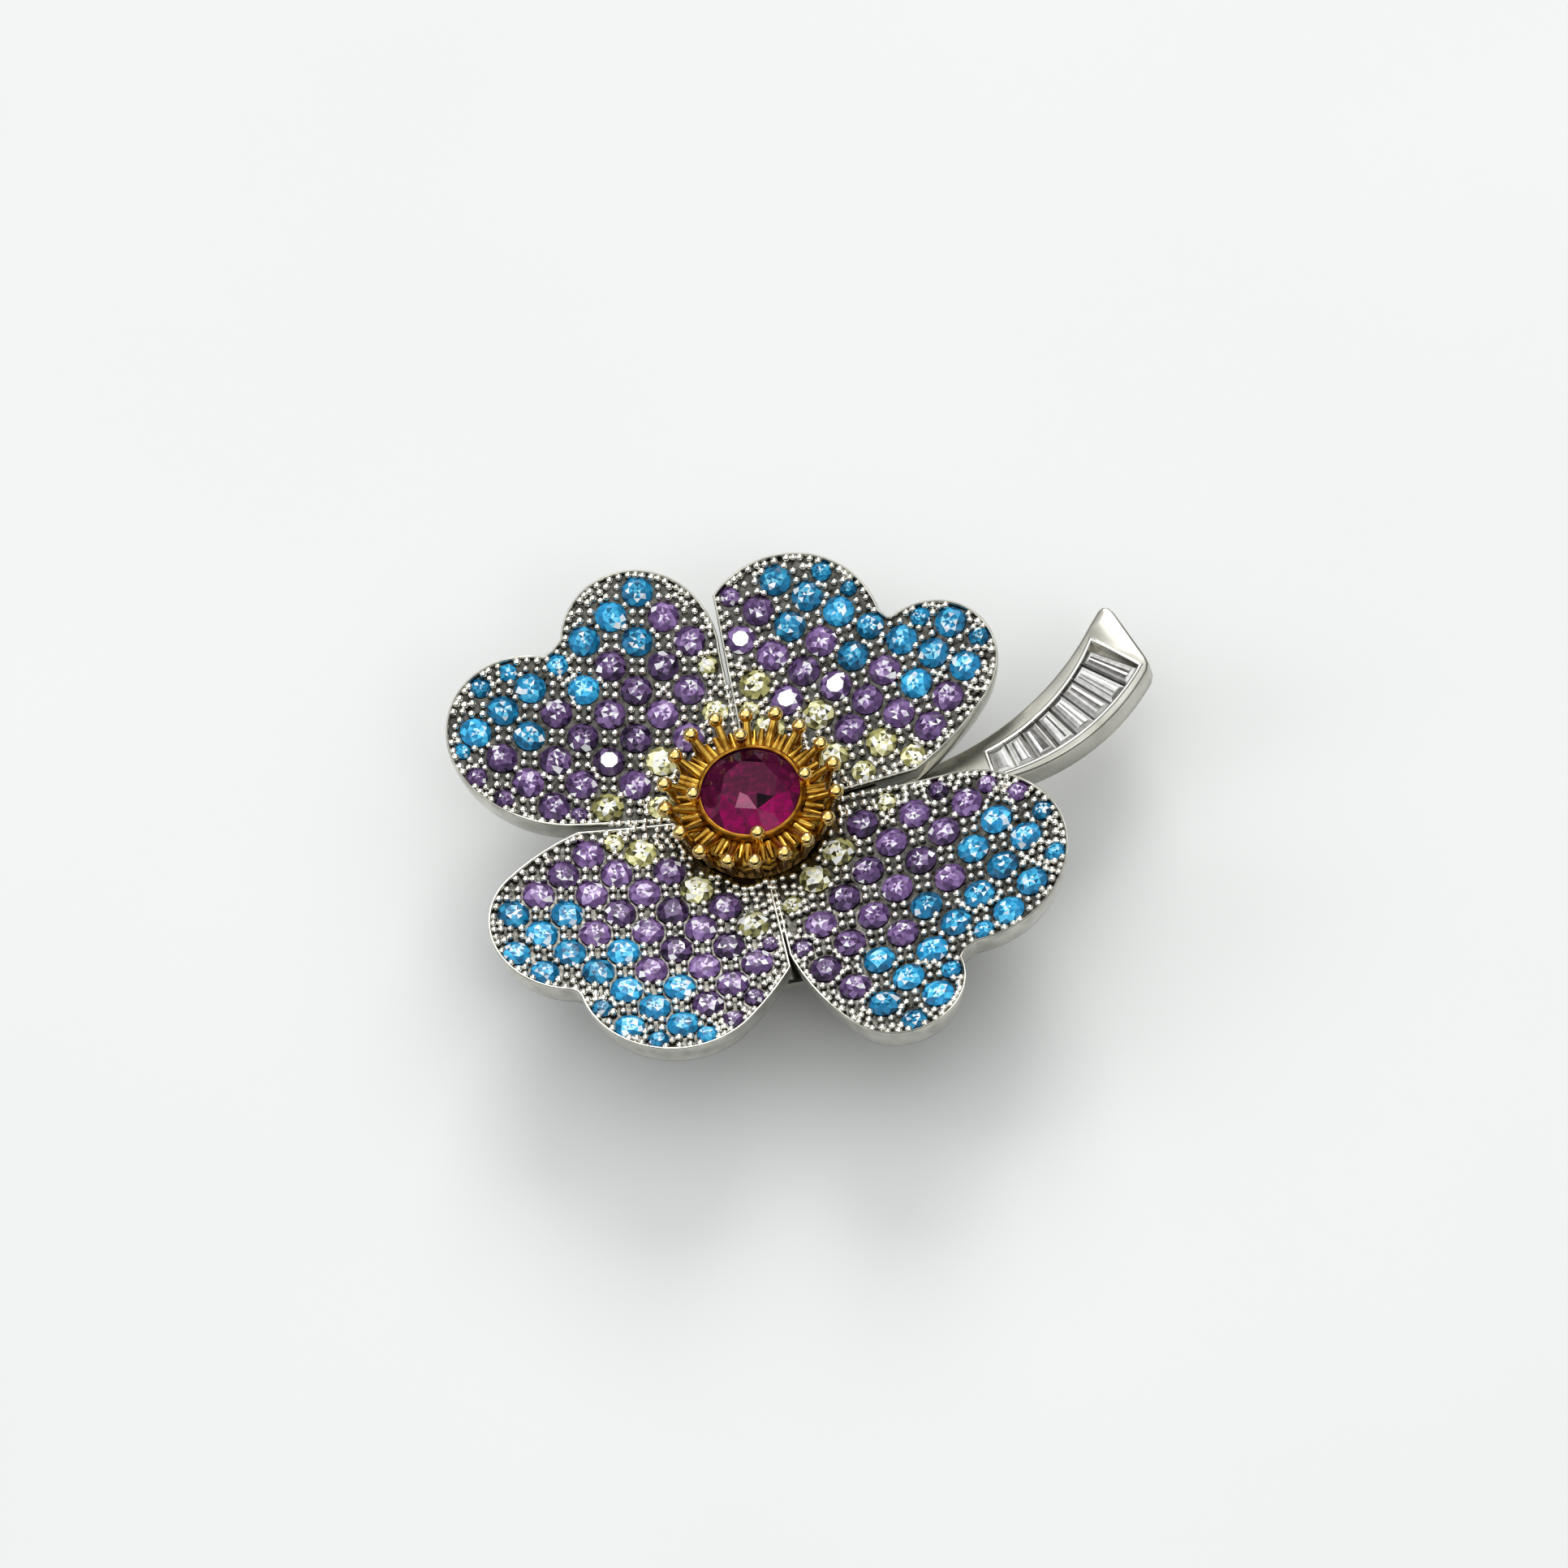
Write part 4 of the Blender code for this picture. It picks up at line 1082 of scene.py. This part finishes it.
def build_stage():
    floor_z = CAD_BOX[0][2]
    bm = bmesh.new()
    bmesh.ops.create_grid(bm, x_segments=2, y_segments=2, size=1.5,
                          matrix=Matrix.Translation((0, 0, floor_z)))
    mesh = bm_mesh("floor", bm)
    floor = bpy.data.objects.new("floor", mesh)
    bpy.context.scene.collection.objects.link(floor)
    look = Look("paper")
    colour = look.ramp(look.noise(18.0, 2.0), ((0.3, (0.745, 0.755, 0.75)), (0.7, (0.765, 0.775, 0.77))))
    look.link(colour, look.shader.inputs["Base Color"])
    look.link(look.span(look.noise(900.0), 0.55, 0.7), look.shader.inputs["Roughness"])
    look.set(Specular_IOR_Level=0.2)
    mesh.materials.append(look.material)

    dark = Look("dark_card")
    dark.set(Base_Color=(0.01, 0.01, 0.01, 1.0), Roughness=1.0, Specular_IOR_Level=0.0)
    for number, (centre, half, turn) in enumerate(CARDS):
        matrix = (Matrix.Translation(centre) @ Matrix.Rotation(math.radians(turn), 4, "Z")
                  @ Matrix.Rotation(math.pi / 2, 4, "X") @ Matrix.Diagonal((half[0], half[1], 1, 1)))
        bm = bmesh.new()
        bmesh.ops.create_grid(bm, x_segments=1, y_segments=1, size=1.0, matrix=matrix)
        mesh = bm_mesh("card_" + str(number), bm)
        card = bpy.data.objects.new("card_" + str(number), mesh)
        bpy.context.scene.collection.objects.link(card)
        mesh.materials.append(dark.material)
        card.visible_camera = False

    world = bpy.data.worlds.new("studio")
    bpy.context.scene.world = world
    world.use_nodes = True
    tree = world.node_tree
    background = tree.nodes["Background"]
    way = tree.nodes.new("ShaderNodeTexCoord")
    split = tree.nodes.new("ShaderNodeSeparateXYZ")
    dome = tree.nodes.new("ShaderNodeValToRGB")
    tree.links.new(way.outputs["Generated"], split.inputs["Vector"])
    tree.links.new(split.outputs["Z"], dome.inputs["Fac"])
    tree.links.new(dome.outputs["Color"], background.inputs["Color"])
    stops = dome.color_ramp.elements
    while len(stops) < len(DOME):
        stops.new(0.5)
    for stop, (height, level) in zip(stops, DOME):
        stop.position = height
        stop.color = (level * 0.97, level * 0.985, level * 0.98, 1.0)
    background.inputs["Strength"].default_value = 1.0

    for name, place, size, power, colour in LIGHTS:
        light = bpy.data.lights.new(name, "AREA")
        light.shape = "SQUARE"
        light.size = size
        light.energy = power
        light.color = colour
        obj = bpy.data.objects.new(name, light)
        bpy.context.scene.collection.objects.link(obj)
        obj.location = place
        obj.rotation_euler = (LIGHTS_AIM - Vector(place)).to_track_quat("-Z", "Y").to_euler()


def build_camera():
    right = Vector(CAMERA_RIGHT).normalized()
    back = Vector(CAMERA_BACK)
    back = (back - right * back.dot(right)).normalized()
    up = back.cross(right)
    across, rise = TARGET_SHIFT
    target = Vector((0, 0, GIRDLE_Z)) + right * across * MM + up * rise * MM
    camera = bpy.data.cameras.new("camera")
    camera.sensor_width = 36.0
    camera.lens = 36.0 * CAMERA_DISTANCE / CAMERA_FIELD
    camera.clip_start = 0.02
    camera.clip_end = 20.0
    obj = bpy.data.objects.new("camera", camera)
    bpy.context.scene.collection.objects.link(obj)
    turn = Matrix((right, up, back)).transposed().to_4x4()
    obj.matrix_world = Matrix.Translation(target + back * CAMERA_DISTANCE) @ turn
    bpy.context.scene.camera = obj


def build_looks():
    return {
        "rhodium": metal("rhodium", (0.36, 0.35, 0.31), (0.6, 0.59, 0.53), (0.07, 0.2)),
        "stem": metal("rhodium_stem", (0.4, 0.39, 0.34), (0.6, 0.585, 0.53), (0.2, 0.36), 330.0),
        # A near-black copy of the rhodium: painted shade on the deck between the stones and beads.
        "deck": metal("rhodium_deck_painted_shade", (0.003, 0.003, 0.002), (0.15, 0.145, 0.13), (0.12, 0.36), 2600.0,
                      0.00005),
        # A lighter copy of the rhodium: painted highlight on the stem's lip and the catch's rotor.
        "bright": metal("rhodium_bright_painted_highlight", (0.74, 0.73, 0.7), (0.9, 0.89, 0.86), (0.05, 0.16)),
        # A lighter copy of the rhodium for the beads: painted highlight.
        "beads": bead_metal("rhodium_beads_painted_highlight", (0.66, 0.65, 0.6), (0.99, 0.97, 0.92)),
        "gold": metal("gold", (0.22, 0.105, 0.012), (0.66, 0.41, 0.075), (0.12, 0.3), 1500.0, 0.00003),
        # A lighter copy of the gold: painted highlight on the balls and claws.
        "gold_beads_painted_highlight": metal("gold_beads_painted_highlight", (0.86, 0.56, 0.15), (1.0, 0.76, 0.32), (0.06, 0.16)),
        # A darker copy of the gold: painted shade on the bezel.
        "gold_painted_shade": metal("gold_painted_shade", (0.14, 0.05, 0.004), (0.4, 0.19, 0.025), (0.2, 0.4), 1500.0,
                           0.00003),
        "steel": metal("pin_steel", (0.5, 0.5, 0.5), (0.66, 0.66, 0.67), (0.2, 0.38), 2500.0,
                       0.000003, (1.0, 0.05, 1.0)),
        "blue": gem("blue_stone", BLUE, 0.0),
        "purple": gem("purple_stone", PURPLE, 0.0),
        "yellow": gem("yellow_stone", YELLOW, 0.0),
        "ruby": gem("ruby", RUBY, 0.0, 0.06, 1.17),
        "clear": gem("clear_stone", CLEAR, 0.1, 0.06),
    }


LOOKS = build_looks()
DRAW = random.Random(7)
bpy.context.scene.view_settings.view_transform = "Standard"
for petal_name in PETALS:
    build_petal(petal_name, LOOKS, DRAW)
build_crown(LOOKS, DRAW)
build_setting(LOOKS)
build_ruby(LOOKS, DRAW)
build_stem(LOOKS, DRAW)
for node_name, look_name in (
        ("centre_plate", "rhodium"), ("pin_bar", "rhodium"), ("hinge_bracket", "rhodium"),
        ("hinge_rivet", "steel"), ("pin_stem", "steel"), ("catch_body", "rhodium"),
        # The catch's rotor gets the lighter copy of the rhodium, a painted highlight.
        ("catch_rotor", "bright")):
    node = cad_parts[node_name]
    node.data.materials.clear()
    node.data.materials.append(LOOKS[look_name])
build_stage()
build_camera()
